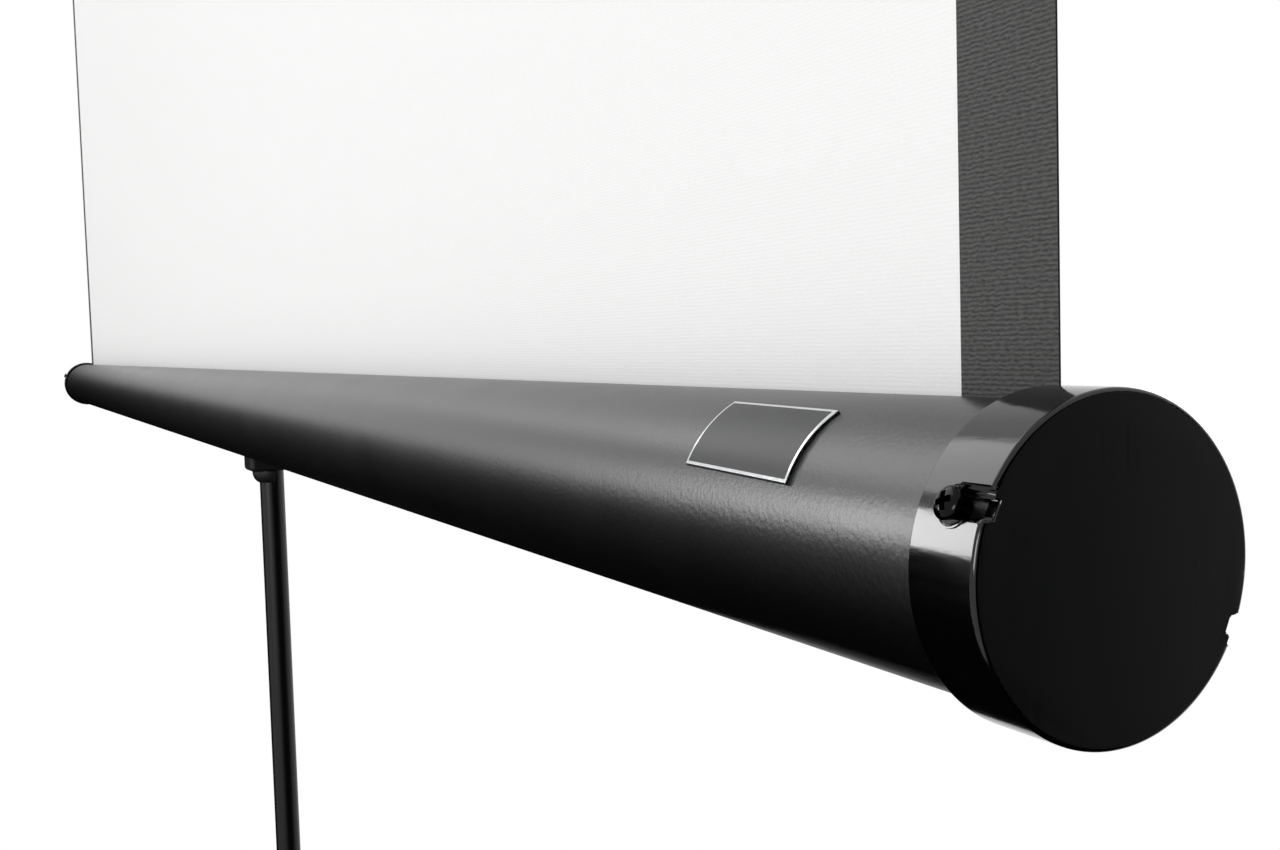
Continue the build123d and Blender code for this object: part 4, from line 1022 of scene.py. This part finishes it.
refine("arm_pin", zinc_plate, edge=0.3 * MM)
refine("keystone_arm", moulded_nylon, edge=0.5 * MM)

# ---- Studio ---------------------------------------------------------------------------------
# A pale painted floor keeps the object's shadow, and fades to the white of the surroundings.
# Soft lamps stand high on the left, in front on the right and behind, with a small key lamp and
# black cards for what the dark gloss mirrors.

FLOOR_REACH = 12.0
FADE_START, FADE_END = 0.9, 2.6  # metres from the foot of the post
AMBIENT = 0.45  # how strongly the surroundings light the object: seen directly, they are white
floor_mesh = bpy.data.meshes.new("floor")
corners = [(-FLOOR_REACH, -FLOOR_REACH, 0), (FLOOR_REACH, -FLOOR_REACH, 0)]
corners += [(FLOOR_REACH, FLOOR_REACH, 0), (-FLOOR_REACH, FLOOR_REACH, 0)]
floor_mesh.from_pydata(corners, [], [(0, 1, 2, 3)])
floor = bpy.data.objects.new("floor", floor_mesh)
bpy.context.scene.collection.objects.link(floor)


def background_seen(tree):
    """1 for a ray that shows the plain white background: camera, glossy and transmission."""
    rays = add(tree, "ShaderNodeLightPath")
    direct = add(
        tree,
        "ShaderNodeMath",
        {0: rays.outputs["Is Camera Ray"], 1: rays.outputs["Is Glossy Ray"]},
        operation="MAXIMUM",
    )
    either = add(
        tree,
        "ShaderNodeMath",
        {0: direct.outputs["Value"], 1: rays.outputs["Is Transmission Ray"]},
        operation="MAXIMUM",
    )
    return either.outputs["Value"]


floor_paint, tree, shader, place = new_material("floor_paint", "#f2f2f0", 0.8)
reach = add(tree, "ShaderNodeVectorMath", {0: place}, operation="LENGTH")
far = add(
    tree,
    "ShaderNodeMapRange",
    {"Value": reach.outputs["Value"], "From Min": FADE_START, "From Max": FADE_END},
    interpolation_type="SMOOTHSTEP",
)
fade = add(
    tree,
    "ShaderNodeMath",
    {0: background_seen(tree), 1: far.outputs["Result"]},
    operation="MULTIPLY",
)
white = add(tree, "ShaderNodeEmission", {"Color": linear("#ffffff"), "Strength": 1.0})
blend = add(
    tree,
    "ShaderNodeMixShader",
    {0: fade.outputs["Value"], 1: shader.outputs["BSDF"], 2: white.outputs["Emission"]},
)
tree.links.new(blend.outputs["Shader"], tree.nodes["Material Output"].inputs["Surface"])
floor_mesh.materials.append(floor_paint)

world = bpy.data.worlds.new("studio")
bpy.context.scene.world = world
world.use_nodes = True
tree = world.node_tree
level = add(
    tree, "ShaderNodeMapRange", {"Value": background_seen(tree), "To Min": AMBIENT, "To Max": 1.0}
)
shell = tree.nodes["Background"]
shell.inputs["Color"].default_value = linear("#ffffff")
tree.links.new(level.outputs["Result"], shell.inputs["Strength"])


def softbox(name, place, target, width, height, power):
    """A rectangular lamp that faces a target."""
    lamp = bpy.data.lights.new(name, "AREA")
    lamp.shape = "RECTANGLE"
    lamp.size = width
    lamp.size_y = height
    lamp.energy = power
    stand = bpy.data.objects.new(name, lamp)
    stand.location = place
    stand.rotation_mode = "QUATERNION"
    stand.rotation_quaternion = (Vector(target) - Vector(place)).to_track_quat("-Z", "Y")
    bpy.context.scene.collection.objects.link(stand)
    return stand


softbox("overhead", (-2.6, -2.2, 5.2), (0.3, 0.0, 1.2), 4.4, 3.4, 132)
softbox("front", (3.6, -5.0, 2.2), (1.2, 0.0, 1.6), 2.2, 1.8, 124)
softbox("back", (-1.7, 4.4, 2.2), (-0.2, 0.0, 1.0), 1.8, 1.8, 40)

# The key lamp is small and near, and draws the bright band along the case. Only reflections see
# it, because its own light would leave a hot spot on the cloth.
key = softbox("key", (-0.33, -1.2, 1.79), (1.11, -0.1, 1.44), 0.41, 0.53, 9.0)
key.visible_diffuse = False

# Black cards stand low on the left, on the floor and up on the right, as is done in a studio
# beside dark gloss. Only reflections see them, and they keep the white surroundings out of the
# lower side of the case and the flat of its cap.
card_mesh = bpy.data.meshes.new("card")
card_corners = [(-1.7, -2.6, 1.62), (-1.7, 1.2, 1.62), (-1.7, -2.6, 0.002), (-1.7, 1.2, 0.002)]
card_corners += [(0.9, -1.6, 0.002), (0.9, 1.2, 0.002), (2.6, -0.9, 0.002), (2.6, 3.4, 0.002)]
card_corners += [(2.6, -0.9, 2.6), (2.6, 3.4, 2.6)]
card_mesh.from_pydata(card_corners, [], [(0, 1, 3, 2), (2, 3, 5, 4), (4, 5, 7, 6), (6, 7, 9, 8)])
card = bpy.data.objects.new("card", card_mesh)
bpy.context.scene.collection.objects.link(card)
card.visible_camera = False
card.visible_diffuse = False
card.visible_shadow = False
card_cloth = new_material("card_cloth", "#020202", 0.95, {"Specular IOR Level": 0.0})[0]
card_mesh.materials.append(card_cloth)

# The camera stands a little past the right-hand end of the case and looks back along it.
CAMERA_PLACE = (1.3075, -0.2584, 1.4848)
YAW, PITCH, ROLL = radians(26.191), radians(3.512), radians(-1.648)
forward = Vector((-cos(YAW) * cos(PITCH), sin(YAW) * cos(PITCH), -sin(PITCH)))
level_right = forward.cross(Vector((0, 0, 1))).normalized()
level_up = level_right.cross(forward)
right = cos(ROLL) * level_right + sin(ROLL) * level_up
up = cos(ROLL) * level_up - sin(ROLL) * level_right
lens = bpy.data.cameras.new("camera")
lens.lens = 38.91
lens.sensor_width = 36.0
lens.clip_start = 0.02
camera = bpy.data.objects.new("camera", lens)
turned = Matrix((right, up, -forward)).transposed().to_4x4()
camera.matrix_world = Matrix.Translation(CAMERA_PLACE) @ turned
bpy.context.scene.collection.objects.link(camera)
bpy.context.scene.camera = camera
bpy.context.scene.view_settings.view_transform = "Standard"
